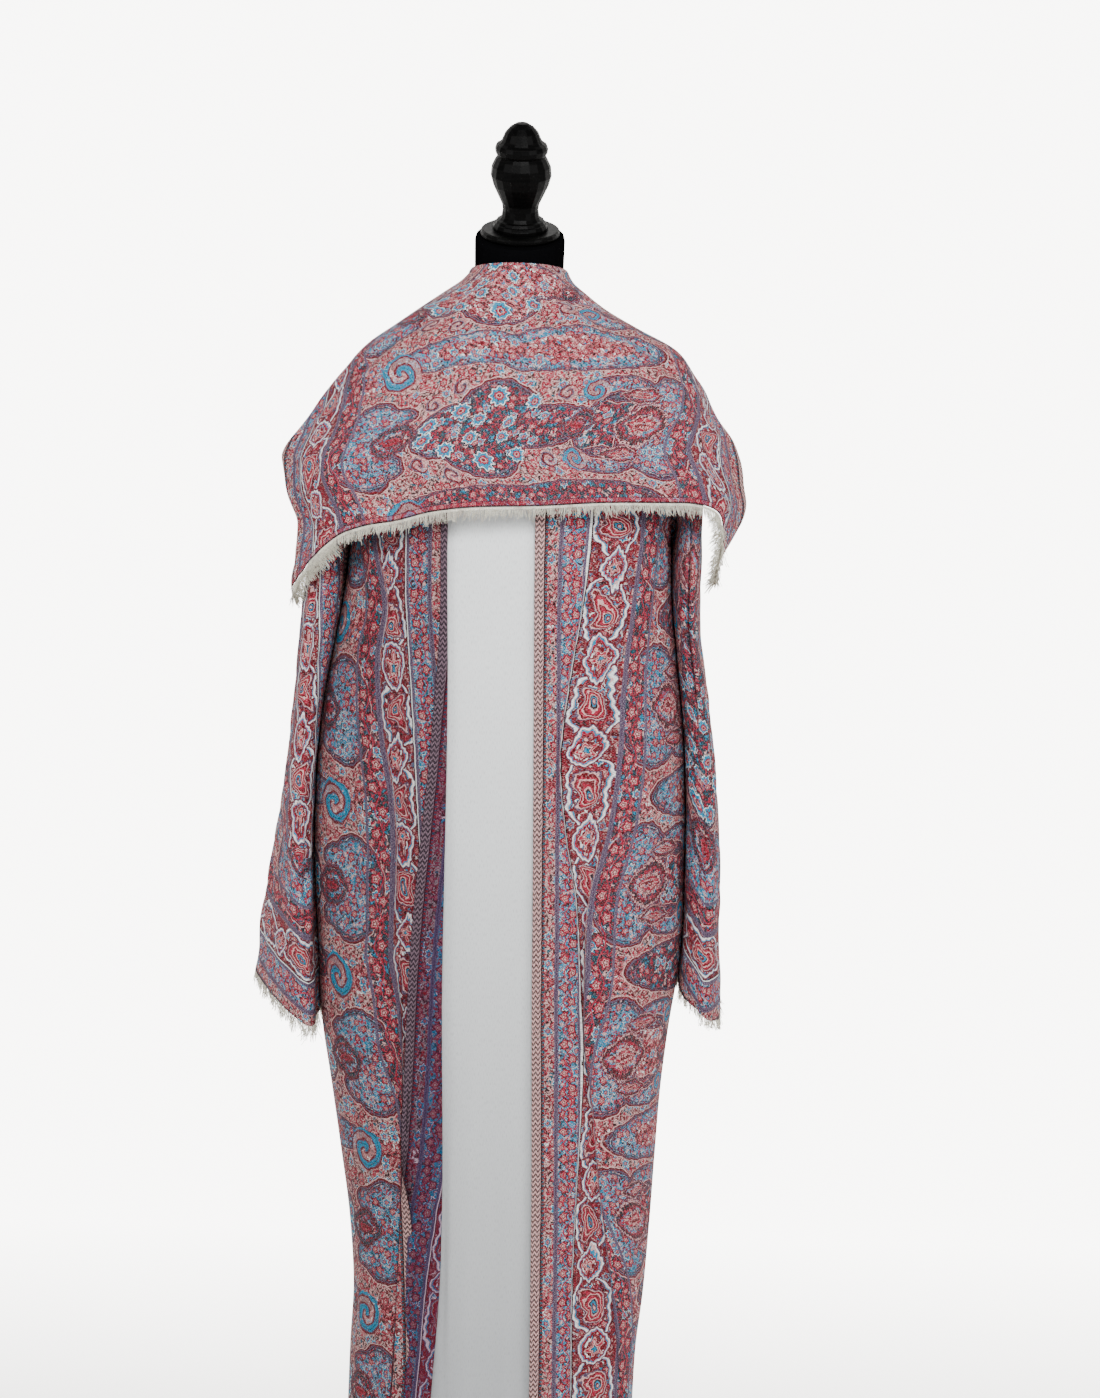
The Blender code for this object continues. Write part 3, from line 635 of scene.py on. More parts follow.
# Shader arithmetic
def add_node(tree, kind, inputs=(), **settings):
    """New node with its settings made and its sockets linked or set."""
    item = tree.nodes.new(kind)
    for key, value in settings.items():
        setattr(item, key, value)
    for place, value in inputs:
        if isinstance(value, Wire):
            value = value.socket
        if isinstance(value, bpy.types.NodeSocket):
            tree.links.new(value, item.inputs[place])
        else:
            item.inputs[place].default_value = value
    return item


class Wire:
    """One number in a shader, with plain arithmetic."""

    def __init__(self, tree, socket):
        self.tree = tree
        self.socket = socket

    def work(self, operation, *others):
        made = add_node(self.tree, "ShaderNodeMath", enumerate((self, *others)), operation=operation)
        return Wire(self.tree, made.outputs[0])

    def __add__(self, other):
        return self.work("ADD", other)

    def __sub__(self, other):
        return self.work("SUBTRACT", other)

    def __mul__(self, other):
        return self.work("MULTIPLY", other)

    def __truediv__(self, other):
        return self.work("DIVIDE", other)

    def less(self, other):
        return self.work("LESS_THAN", other)

    def more(self, other):
        return self.work("GREATER_THAN", other)

    def least(self, other):
        return self.work("MINIMUM", other)

    def most(self, other):
        return self.work("MAXIMUM", other)

    def clipped(self):
        """The number kept between 0 and 1."""
        return self.most(0.0).least(1.0)

    def size(self):
        return self.work("ABSOLUTE")

    def fold(self, half_period):
        return self.work("PINGPONG", half_period)

    def wrap(self, period):
        return self.work("WRAP", period, 0.0)

    def wave(self, period):
        return self.work("MULTIPLY", 2 * math.pi / period).work("SINE")

    def within(self, centre, half_width):
        return self.work("COMPARE", centre, half_width)

    def scaled(self, factor, offset):
        return self.work("MULTIPLY_ADD", factor, offset)


def join(tree, *parts):
    """A point from its coordinates."""
    return add_node(tree, "ShaderNodeCombineXYZ", enumerate(parts)).outputs[0]


def parts_of(tree, point):
    """The first two coordinates of a point."""
    made = add_node(tree, "ShaderNodeSeparateXYZ", [(0, point)])
    return Wire(tree, made.outputs[0]), Wire(tree, made.outputs[1])


def vector_work(tree, operation, *values):
    """A point from one step of vector arithmetic."""
    return add_node(tree, "ShaderNodeVectorMath", enumerate(values), operation=operation).outputs[0]


def length_of(tree, point):
    made = add_node(tree, "ShaderNodeVectorMath", [(0, point)], operation="LENGTH")
    return Wire(tree, made.outputs["Value"])


def angle_of(tree, point):
    x, y = parts_of(tree, point)
    return y.work("ARCTAN2", x)


def flat_noise(tree, point, scale, detail):
    """Noise on the flat cloth."""
    inputs = [("Vector", point), ("Scale", scale), ("Detail", detail)]
    return add_node(tree, "ShaderNodeTexNoise", inputs, noise_dimensions="2D")


def flat_drift(tree, point, scale, detail):
    """Noise on the flat cloth as a shift either way."""
    noise = flat_noise(tree, point, scale, detail)
    return vector_work(tree, "SUBTRACT", noise.outputs["Color"], (0.5, 0.5, 0.5))


def raise_relief(tree, shader, height, strength, distance):
    """Relief too fine to be modelled."""
    inputs = [("Strength", strength), ("Distance", distance), ("Height", height)]
    tree.links.new(add_node(tree, "ShaderNodeBump", inputs).outputs[0], shader.inputs["Normal"])


def principled(title, colour, roughness, specular):
    material = bpy.data.materials.new(title)
    material.use_nodes = True
    shader = material.node_tree.nodes["Principled BSDF"]
    shader.inputs["Base Color"].default_value = colour
    shader.inputs["Roughness"].default_value = roughness
    shader.inputs["Specular IOR Level"].default_value = specular
    return material, material.node_tree, shader


def tone(code):
    """Linear colour from a six-digit sRGB code."""
    parts = [int(code[i:i + 2], 16) / 255 for i in (0, 2, 4)]
    return tuple(p / 12.92 if p <= 0.04045 else ((p + 0.055) / 1.055) ** 2.4 for p in parts) + (1.0,)


def dye(code):
    """Colour that shows as the code in the studio's bright light, whose film softens bright tones."""
    seen = tone(code)[:3]
    return tuple(min(0.95, c * (1 + 3.2 * c ** 3) / STUDIO_LIGHT) for c in seen) + (1.0,)


class Layers:
    """Colours painted one over another."""

    def __init__(self, tree, ground):
        self.tree = tree
        self.colour = ground

    def paint(self, mask, colour, share=1.0):
        """Lay a colour where the mask is 1."""
        factor = mask if share == 1.0 else mask * share
        inputs = [(0, factor), (6, self.colour), (7, colour)]
        self.colour = add_node(self.tree, "ShaderNodeMix", inputs, data_type="RGBA").outputs[2]


# Shawl pattern, on the flat cloth in millimetres
HALF_REPEAT = 101.0
CARTOUCHE_AXIS = 100.0
FIELD_START = 153.0
BAND_MIDDLE = 90.0
BAND_HALF_WIDTH = 24.0
VINE_PHASE = 55.0

# Leaves and blossoms scattered over the cloth: sizes of the cells that each lies in
LEAF_CELL = 4.7
SMALL_LEAF_CELL = 3.0
BLOSSOM_CELL = 12.5

# Zigzag lines: half width of a zigzag, its rise for each millimetre, spacing, width of a line
FINE_WAVES = (2.7, 0.9, 3.2, 1.3)
SELVEDGE_TWILL = (3.0, 1.4, 6.0, 3.4)

# Scalloped line: half width at a medallion, how much wider at a boteh, and where it widens
VINE_HALF_WIDTH = 8.0
VINE_SWELL = 13.0
SWELL_START = 13
SWELL_RUN = 18

# Half width and half height of a medallion and of a boteh, and the boteh's bend, shift and taper
MEDALLION_SIZE = (17.0, 25.0)
BOTEH_SIZE = (10.5, 19.0)
BOTEH_BEND = 0.03
BOTEH_SHIFT = 2.0
BOTEH_TAPER = 0.30

# Fine lines: middle, half width, share of their colour
FINE_LINES = ((32.75, 0.5, 0.7), (117.5, 0.5, 0.5))
CHECKED_LINE = (15.75, 1.25)
TWILL_END = 12.0

# Stripes with winding stems: middle, half width, length of a wave, its swing, size of a flower
SLATE_STRIPE = (135.0, 14.0, 52.0, 5.0, 8.0)
TEAL_STRIPE = (48.25, 12.75, 34.0, 5.5, 6.5)

RIGHT_SIDE = {
    "cream": "DEC8C6", "white": "F8F0EE", "rose": "C63056", "red": "960A22", "deep": "420614",
    "cyan": "06AEC8", "slate": "1E3A44", "lilac": "846E8C", "purple": "5C1E40", "brown": "5C2A2A",
    "teal": "0E7C90", "shadow": "120810",
}
WRONG_SIDE = {
    "cream": "AA94A0", "white": "D0C2CC", "rose": "9A2C56", "red": "9C1230", "deep": "4E0C2A",
    "cyan": "1488B0", "slate": "342C52", "lilac": "6A5680", "purple": "46204E", "brown": "4E2638",
    "teal": "1C5A7C", "shadow": "180E1E",
}

# Colours of the small leaves on each ground, by share
LEAVES_ON = {
    "cream": ((0.0, "red"), (0.30, "rose"), (0.52, "teal"), (0.62, "brown"), (0.74, "rose"), (0.86, "deep")),
    "rose": ((0.0, "red"), (0.30, "cream"), (0.52, "deep"), (0.66, "cyan"), (0.74, "white"), (0.86, "brown")),
    "cyan": ((0.0, "red"), (0.26, "cream"), (0.40, "rose"), (0.64, "teal"), (0.78, "cyan"), (0.90, "deep")),
    "slate": ((0.0, "rose"), (0.34, "red"), (0.56, "teal"), (0.68, "cream"), (0.78, "rose"), (0.90, "cyan")),
    "red": ((0.0, "cream"), (0.22, "rose"), (0.44, "cyan"), (0.54, "deep"), (0.78, "white"), (0.88, "lilac")),
}

# Colour of the fine wavy lines on each ground
WAVES_ON = {"cream": "brown", "rose": "cream", "cyan": "cream", "slate": "lilac", "red": "rose"}

# Number that stands for each ground, in equal steps
KIND_STEP = 0.2
GROUND_KINDS = {"cream": 0.1, "rose": 0.3, "cyan": 0.5, "slate": 0.7, "red": 0.9}

# Lines that follow an outline, from inside to outside in millimetres
OUTLINE = (
    (-9.0, None), (-4.4, "lilac"), (-3.2, "slate"), (-2.3, None), (-1.2, "purple"), (0.1, "lilac"),
    (1.4, "red"), (3.0, "deep"), (3.7, "cream"), (4.8, None),
)

# Rings of the flowers, from the middle out in shares of the radius
LOTUS_RINGS = (
    (0.0, "red"), (0.10, "cream"), (0.16, "rose"), (0.26, "deep"), (0.32, "cream"), (0.38, None),
    (0.56, "rose"), (0.64, "slate"), (0.70, "red"), (0.76, "slate"), (0.84, "red"), (0.90, "cream"),
    (0.96, "lilac"), (1.02, "red"), (1.10, None),
)
DARK_LOTUS_RINGS = (
    (0.0, "red"), (0.12, "rose"), (0.22, "slate"), (0.30, "red"), (0.38, None), (0.58, "slate"),
    (0.66, "rose"), (0.72, "slate"), (0.84, "lilac"), (0.90, "slate"), (0.96, "red"), (1.08, "lilac"),
    (1.15, None),
)
FLOWER_RINGS = (
    (0.0, "red"), (0.18, "cream"), (0.26, "rose"), (0.42, "slate"), (0.48, "cyan"), (0.80, "white"),
    (0.92, "slate"), (1.04, None),
)
BLOSSOM_RINGS = (
    (0.0, "cream"), (0.18, "red"), (0.36, "cream"), (0.46, "rose"), (0.74, "deep"), (0.92, None),
)
RINGS_END = 1.3

# Colours across a scroll's line, in shares of a turn
SCROLL_TURNS = ((0.0, None), (0.30, "red"), (0.50, "purple"), (0.60, "lilac"), (0.74, None))
LARGE_SCROLL_TURNS = (
    (0.0, None), (0.26, "red"), (0.36, "lilac"), (0.42, "cyan"), (0.60, "teal"), (0.66, "cyan"),
    (0.76, "lilac"), (0.82, "red"), (0.92, None),
)

# Rings of the band: the scalloped line, the medallion with its flower, and the boteh
VINE_LINES = (
    (-6.0, None), (-4.8, "red"), (-3.8, "cyan"), (-2.6, "cream"), (-1.9, "white"), (0.4, "lilac"),
    (1.4, "red"), (2.2, None),
)
MEDALLION_RINGS = (
    (0.0, "red"), (0.54, None), (0.66, "red"), (0.74, "rose"), (0.80, "cyan"), (0.87, "cream"),
    (0.92, "white"), (1.0, "lilac"), (1.06, "red"), (1.14, None),
)
HEART_RINGS = (
    (0.0, "cyan"), (0.08, "deep"), (0.14, "cream"), (0.22, "rose"), (0.32, "cream"), (0.38, "red"),
    (0.44, None),
)
BOTEH_RINGS = (
    (0.0, "cream"), (0.10, "red"), (0.20, "cyan"), (0.28, "deep"), (0.38, "cream"), (0.45, "rose"),
    (0.56, "red"), (0.66, "cream"), (0.73, "rose"), (0.82, "red"), (0.92, "cream"), (0.99, "lilac"),
    (1.06, "red"), (1.14, None),
)
PLAIN_STRIPES = (
    (0.0, "cream"), (12.0, "deep"), (14.5, None), (30.0, "lilac"), (35.5, None), (61.0, "lilac"),
    (64.5, "white"), (66.0, "deep"), (67.0, None), (114.0, "lilac"), (121.0, None), (149.0, "lilac"),
    (FIELD_START, None),
)

# Ovals whose union is an outline: across from the middle, up from the axis, half width, half height
CARTOUCHE = ((-26, 0, 56, 62), (-84, 0, 34, 34), (40, 0, 50, 26), (120, 0, 40, 40))
CROWNS = ((-178, 0, 46, 60), (-150, 34, 22, 14), (188, 0, 52, 68), (118, 46, 36, 16))
LONG_LEAF = ((70, 0, 112, 31), (-40, 6, 112, 21))

# Scrolls and large flowers: across from the middle, up from the axis, radius
SCROLLS = ((-106, 41, 11), (-73, 58, 11), (54, 41, 11))
LARGE_SCROLL = (86, 43, 15)
LEAF_SCROLL = (-148, -5, 27)
FLOWERS = ((-104, 10, 11), (-72, 26, 11), (-27, 42, 13), (-6, 10, 8), (16, 34, 10), (-45, 12, 9))

# Lotuses: across from the middle, up from the axis, half width, half height, rings
LOTUSES = (
    (-144, 0, 28, 23, DARK_LOTUS_RINGS),
    (160, 0, 36, 29, LOTUS_RINGS),
    (144, 38, 28, 11, LOTUS_RINGS),
    (80, 0, 19, 17, DARK_LOTUS_RINGS),
)


def colour_steps(tree, number, low, high, rows, dyes):
    """Flat colours that change at given values of a number. No colour lets the layer below show."""
    if (low, high) != (0.0, 1.0):
        number = number.scaled(1 / (high - low), -low / (high - low))
    made = add_node(tree, "ShaderNodeValToRGB", [(0, number)])
    ramp = made.color_ramp
    ramp.interpolation = "CONSTANT"
    ramp.elements.remove(ramp.elements[1])
    for i, (start, name) in enumerate(rows):
        place = (start - low) / (high - low)
        stop = ramp.elements[0] if i == 0 else ramp.elements.new(place)
        stop.position = max(0.0, place)
        stop.color = dye(dyes[name]) if name else (0.0, 0.0, 0.0, 0.0)
    return made.outputs[0], Wire(tree, made.outputs[1])


def local(tree, point, centre, size):
    """The point seen from a centre, in units of the size."""
    scale = [1 / s for s in size] + [0.0]
    offset = [-c / s for c, s in zip(centre, size)] + [0.0]
    return vector_work(tree, "MULTIPLY_ADD", point, scale, offset)


def outside_ovals(tree, point, ovals):
    """Distance in millimetres outside the union of some ovals, about right near its edge."""
    nearest_one = None
    for x, y, half_width, half_height in ovals:
        reach = math.sqrt(half_width * half_height)
        seen = local(tree, point, (x, y), (half_width, half_height))
        away = length_of(tree, seen).scaled(reach, -reach)
        nearest_one = away if nearest_one is None else nearest_one.least(away)
    return nearest_one


def pointed(tree, point, centre, along, across):
    """0 in the middle of a pointed leaf that lies across the cloth, 1 at its edge."""
    x, y = parts_of(tree, local(tree, point, centre, (along, across)))
    return x.work("POWER", 2.0) + y.size()


def nearest(tree, point, places):
    """The point seen from the nearest of some round places in units of its radius, and its distance."""
    best, distance = None, None
    for x, y, radius in places:
        seen = local(tree, point, (x, y), (radius, radius))
        away = length_of(tree, seen)
        if best is None:
            best, distance = seen, away
            continue
        inputs = [(0, away.less(distance)), (4, best), (5, seen)]
        best = add_node(tree, "ShaderNodeMix", inputs, data_type="VECTOR").outputs[1]
        distance = away.least(distance)
    return best, distance


def petals(tree, point, distance, count, depth):
    """Distance from a flower's middle, drawn in between its petals."""
    return distance * (angle_of(tree, point) * count).work("COSINE").scaled(depth, 1.0)


def cells(tree, point, size, seed, randomness):
    """Scattered places: the point seen from its nearest one, and two random numbers of that one."""
    spread_out = vector_work(tree, "MULTIPLY_ADD", point, (1 / size, 1 / size, 0), (seed, seed, 0))
    inputs = [("Scale", 1.0), ("Randomness", randomness), ("Vector", spread_out)]
    made = add_node(tree, "ShaderNodeTexVoronoi", inputs, voronoi_dimensions="2D")
    seen = vector_work(tree, "SUBTRACT", spread_out, made.outputs["Position"])
    return seen, *parts_of(tree, made.outputs["Color"])


def small_leaves(tree, point, size, seed):
    """Small leaves turned all ways: 0 in a leaf's middle and 1 at its edge, and its random number."""
    seen, first, second = cells(tree, point, size, seed, 0.9)
    inputs = [("Vector", seen), ("Angle", second * 6.283)]
    turned = add_node(tree, "ShaderNodeVectorRotate", inputs, rotation_type="Z_AXIS")
    x, y = parts_of(tree, turned.outputs[0])
    bent = (x * x).scaled(0.9, 0.0)
    return length_of(tree, join(tree, x / 0.50, (y + bent) / 0.20)), first


class Shawl:
    """The shawl's woven pattern, painted on the flat cloth layer by layer."""

    def __init__(self, tree, dyes, seed):
        """Places on the cloth. Woven lines wander a little from them."""
        self.tree = tree
        self.dyes = dyes
        self.seed = seed
        uv = add_node(tree, "ShaderNodeUVMap", uv_map="cloth")
        self.flat = vector_work(tree, "MULTIPLY", uv.outputs[0], (1000, 1000, 0))
        wander = flat_drift(tree, self.flat, 0.075, 1.0)
        stripe_place = vector_work(tree, "MULTIPLY_ADD", wander, (1.2, 5.0, 0), self.flat)
        self.shape_place = vector_work(tree, "MULTIPLY_ADD", wander, (6.0, 6.0, 0), self.flat)
        noise = flat_noise(tree, self.flat, 0.16, 1.0)
        self.uneven = Wire(tree, noise.outputs["Fac"]).scaled(0.30, -0.15)
        self.flat_u, self.flat_v = parts_of(tree, self.flat)
        across, self.v = parts_of(tree, stripe_place)
        self.u = across.least(across.scaled(-1.0, 1000 * CLOTH_WIDTH))
        self.band = self.u.within(BAND_MIDDLE, BAND_HALF_WIDTH)
        self.ground = None

    def dye(self, name):
        return dye(self.dyes[name])

    def fine(self, mask, name, share=1.0):
        """Paint one colour where the mask is 1."""
        self.ground.paint(mask, self.dye(name), share)

    def rings(self, number, rows, inside=None, low=0.0, high=RINGS_END):
        """Paint colours that change with a number, such as the distance from a flower's middle."""
        colours, shown = colour_steps(self.tree, number, low, high, rows, self.dyes)
        self.ground.paint(shown if inside is None else shown * inside, colours)

    def zigzags(self, across, half_width, rise, spacing, line):
        """Zigzag lines across the cloth."""
        return (self.flat_v + across.fold(half_width) * rise).wrap(spacing).less(line)

    def scroll(self, place, scrolls, turns, rows):
        """Scrolls drawn as a line that winds in, each over its own ground."""
        seen, away = nearest(self.tree, place, scrolls)
        turn = (angle_of(self.tree, seen) / (2 * math.pi) + away * turns).work("FRACT")
        inside = away.less(1.0)
        self.fine(inside, "cream", 0.35)
        self.rings(turn, rows, inside, high=1.0)

    def lay_grounds(self):
        """Grounds of the field, of its cartouche, crowns and long leaf, and of the band and two stripes."""
        tree = self.tree
        self.shape_across, self.shape_along = parts_of(tree, self.shape_place)
        s = self.shape_across.scaled(1.0, -500 * CLOTH_WIDTH)
        from_axis = self.shape_along - CARTOUCHE_AXIS
        t = from_axis.fold(HALF_REPEAT)
        v_leaf = from_axis.wrap(2 * HALF_REPEAT) - HALF_REPEAT
        odd = from_axis.scaled(0.25 / HALF_REPEAT, 0.25).work("FRACT").more(0.5)
        even = from_axis.scaled(0.25 / HALF_REPEAT, 0.0).work("FRACT").more(0.5)
        self.here = join(tree, s, t)
        self.here_leaf = join(tree, s, v_leaf)
        body = outside_ovals(tree, self.here, CARTOUCHE)
        crown = outside_ovals(tree, self.here, CROWNS)
        leaf = outside_ovals(tree, self.here_leaf, LONG_LEAF)
        self.outlines = (leaf, crown, body)
        kinds = Layers(tree, (GROUND_KINDS["cream"], 0.0, 0.0, 1.0))
        for mask, name in (
            (t.more(82.0), "rose"),
            (leaf.less(0.0), "cyan"),
            (leaf.less(-22.0), "rose"),
            (leaf.less(0.0) * even, "slate"),
            (crown.less(0.0), "cyan"),
            (body.less(0.0), "slate"),
            (body.less(0.0) * odd, "rose"),
            (self.band, "red"),
            (self.u.within(*SLATE_STRIPE[:2]), "slate"),
            (self.u.within(*TEAL_STRIPE[:2]), "cyan"),
        ):
            kinds.paint(mask, (GROUND_KINDS[name], 0.0, 0.0, 1.0))
        self.kind, _ = parts_of(tree, kinds.colour)

    def leaves_and_waves(self):
        """Fine wavy lines and small leaves, coloured for the ground they lie on."""
        tree, dyes, kind = self.tree, self.dyes, self.kind
        grounds = [(start - 0.5 * KIND_STEP, name) for name, start in GROUND_KINDS.items()]
        waves = [(start, WAVES_ON[name]) for start, name in grounds]
        leaves = [
            (start + share * KIND_STEP, colour)
            for start, name in grounds
            for share, colour in LEAVES_ON[name]
        ]
        self.ground = Layers(tree, colour_steps(tree, kind, 0.0, 1.0, grounds, dyes)[0])
        shape, number = small_leaves(tree, self.shape_place, LEAF_CELL, self.seed)
        leaf_place = kind + number.scaled(0.98 * KIND_STEP, -0.49 * KIND_STEP)
        self.leaf_colour = colour_steps(tree, leaf_place, 0.0, 1.0, leaves, dyes)[0]
        wavy = self.zigzags(self.flat_u, *FINE_WAVES)
        self.ground.paint(wavy, colour_steps(tree, kind, 0.0, 1.0, waves, dyes)[0], 0.5)
        self.fine(shape.less(1.45), "shadow", 0.72)
        self.ground.paint(shape.less(1.0), self.leaf_colour)
        smaller = small_leaves(tree, self.shape_place, SMALL_LEAF_CELL, self.seed + 7)
        self.small_leaf, self.leaf_number = smaller
        self.ground.paint(self.small_leaf.less(1.0) * self.leaf_number.more(0.35), self.leaf_colour, 0.9)

    def blossoms(self):
        """Blossoms scattered over the field."""
        seen, number, _ = cells(self.tree, self.shape_place, BLOSSOM_CELL, self.seed + 3, 0.7)
        away = petals(self.tree, seen, length_of(self.tree, seen), 6, 0.2)
        self.rings(away.scaled(2.5, 0.0), BLOSSOM_RINGS, number.more(0.50))
        self.rings(away.scaled(2.3, 0.0), FLOWER_RINGS, number.less(0.20))

    def cartouche(self):
        """Outlines of the leaf, the crowns and the cartouche, and their flowers, lotuses and scrolls."""
        for edge in self.outlines:
            self.rings(edge, OUTLINE, low=-9.0, high=9.0)
        seen, away = nearest(self.tree, self.here, FLOWERS)
        self.rings(petals(self.tree, seen, away, 9, 0.13), FLOWER_RINGS)
        one_way = (self.shape_across + self.shape_along).wave(7.0)
        petal_edge = one_way * (self.shape_across - self.shape_along).wave(7.0) * 0.07
        for x, y, half_width, half_height, rows in LOTUSES:
            away = pointed(self.tree, self.here, (x, y), half_width, half_height)
            self.rings(away + self.uneven + petal_edge, rows)
        self.scroll(self.here, SCROLLS, 1.35, SCROLL_TURNS)
        self.scroll(self.here, (LARGE_SCROLL,), 1.25, LARGE_SCROLL_TURNS)
        self.scroll(self.here_leaf, (LEAF_SCROLL,), 1.35, LARGE_SCROLL_TURNS)
        few = self.small_leaf.less(0.8) * self.leaf_number.more(0.62)
        self.ground.paint(few * self.band.less(0.5), self.leaf_colour, 0.9)

    def scalloped_band(self):
        """Pointed medallions between scalloped lines, and curved botehs between the medallions."""
        tree, band, uneven = self.tree, self.band, self.uneven
        drift_x, drift_y = parts_of(tree, flat_drift(tree, self.flat, 0.028, 0.0))
        half = HALF_REPEAT / 2
        phase = (self.v + drift_y * 26.0 - VINE_PHASE + half).wrap(HALF_REPEAT) - half
        rise = phase.size()
        swell = rise.scaled(1 / SWELL_RUN, -SWELL_START / SWELL_RUN).work("SMOOTH_MIN", 1.0, 0.5)
        vine = swell.most(0.0).scaled(VINE_SWELL, VINE_HALF_WIDTH)
        x = self.u - BAND_MIDDLE + drift_x * 12.0
        off_vine = x.size() - (vine + self.v.wave(12.0) * 0.9)
        self.fine(band * off_vine.more(2.0), "red", 0.45)
        self.rings(off_vine, VINE_LINES, band, -6.0, 6.0)
        y = rise - half
        half_width, half_height = BOTEH_SIZE
        curved = x + (y * y) * BOTEH_BEND - BOTEH_SHIFT
        bent = join(tree, curved / y.scaled(-BOTEH_TAPER, half_width), y / half_height)
        self.rings(length_of(tree, bent) + uneven, BOTEH_RINGS, band)
        inside = join(tree, x / MEDALLION_SIZE[0], phase / MEDALLION_SIZE[1])
        leaf_x, leaf_y = parts_of(tree, inside)
        reach = length_of(tree, inside)
        notch = (angle_of(tree, inside) * 14.0).work("COSINE") * 0.035
        away = (leaf_x.size() + leaf_y.size()) * 0.45 + reach * 0.55 + notch + uneven * 0.5
        self.rings(away, MEDALLION_RINGS, band)
        self.rings(petals(tree, inside, reach, 5, 0.32) + uneven, HEART_RINGS, band)

    def winding_stems(self):
        """Flowers on winding stems in the slate stripe and in the teal stripe."""
        for middle, half_width, length, swing, size in (SLATE_STRIPE, TEAL_STRIPE):
            stripe = self.u.within(middle, half_width)
            bend = self.v.wave(length) * swing
            stem = (self.u - middle - bend).size()
            self.fine(stripe * stem.less(0.9), "rose")
            along = (self.v.wrap(length / 2) - length / 4) / size
            seen = join(self.tree, (self.u - middle + bend) / size, along)
            self.rings(petals(self.tree, seen, length_of(self.tree, seen), 5, 0.2), BLOSSOM_RINGS, stripe)

    def plain_stripes(self):
        """Plain stripes, and the fine twill along the selvedge."""
        u, v = self.u, self.v
        self.rings(u, PLAIN_STRIPES, low=0.0, high=160.0)
        for middle, half_width, share in FINE_LINES:
            self.fine(u.within(middle, half_width), "purple", share)
        self.fine(self.zigzags(u, *SELVEDGE_TWILL) * u.less(TWILL_END), "shadow", 0.85)
        self.fine(u.less(0.9), "deep")
        self.fine(u.within(*CHECKED_LINE), "red")
        self.fine(u.within(*CHECKED_LINE) * v.wrap(5.0).less(2.2), "teal")

    def cloth_end(self):
        """End of the cloth above the fringe."""
        self.fine(self.flat_v.less(6.5), "rose", 0.45)
        self.fine(self.flat_v.within(6.8, 0.5), "purple")
        self.fine(self.flat_v.less(1.6), "shadow", 0.85)

    def threads(self):
        """Short light and dark streaks along the weft."""
        stretched = vector_work(self.tree, "MULTIPLY", self.flat, (0.55, 1.7, 0))
        thread = Wire(self.tree, flat_noise(self.tree, stretched, 1.0, 0.0).outputs["Fac"])
        self.fine(thread.scaled(3.4, -1.55).clipped(), "shadow", 0.66)
        self.fine(thread.scaled(-3.8, 1.60).clipped(), "white", 0.24)
        return thread


def shawl_material(title, dyes, seed, level=1.0):
    """Woven shawl cloth. Its UV map is the flat cloth in metres: across from a selvedge, up from the hem."""
    material, tree, shader = principled(title, dye(dyes["rose"]), 0.7, 0.06)
    shawl = Shawl(tree, dyes, seed)
    shawl.lay_grounds()
    shawl.leaves_and_waves()
    shawl.blossoms()
    shawl.cartouche()
    shawl.scalloped_band()
    shawl.winding_stems()
    shawl.plain_stripes()
    shawl.cloth_end()
    thread = shawl.threads()
    # The whole cloth is mixed towards black by 1 - level: painted shade on the left front's copies
    shawl.ground.paint(shawl.flat_v.more(-1.0), (0.0, 0.0, 0.0, 1.0), 1.0 - level)
    tree.links.new(shawl.ground.colour, shader.inputs["Base Color"])
    twill = (shawl.flat_u + shawl.flat_v * 1.2).wave(1.3) * 0.2
    raise_relief(tree, shader, thread + twill, 0.35, 0.0006)
    shader.inputs["Sheen Weight"].default_value = 0.01
    shader.inputs["Sheen Roughness"].default_value = 0.4
    return material


# Fronts and back
def front_right_rows():
    """Right front from its selvedge to the side seam, with its two laps."""
    rows, coordinates = [], []
    for z in row_heights(HEM_Z, ROBE_TOP):
        edge_x = read(FRONT_EDGES, z, 2)
        side = side_angle(z, 3, 1)
        room = ring_point(ROBE, side, z).x - edge_x
        inner = min(read(RIGHT_LAPS, z, 1), edge_x + INNER_LAP_SHARE * room)
        outer = min(read(RIGHT_LAPS, z, 2), edge_x + OUTER_LAP_SHARE * room)
        stops = [front_angle(x, z) for x in (edge_x, inner - LAP_GAP, inner, outer - LAP_GAP, outer)]
        edge_part = [robe_point(angle, z) for angle in steps_to(stops[0], stops[1], EDGE_STEPS)]
        middle_part = [robe_point(angle, z) for angle in steps_to(stops[2], stops[3], MIDDLE_STEPS)]
        side_part = [robe_point(angle, z) for angle in steps_to(stops[4], side, SIDE_STEPS)]
        start = read(RIGHT_LAPS, z, 3)
        across = cloth_run(edge_part, RIGHT_SELVEDGE, BAND_START)
        across += cloth_run(middle_part, BAND_START, BAND_END)
        across += cloth_run(side_part, start, start)
        rows.append(edge_part + middle_part + side_part)
        coordinates.append([(CLOTH_WIDTH - u, robe_height(z)) for u in across])
    return rows, coordinates


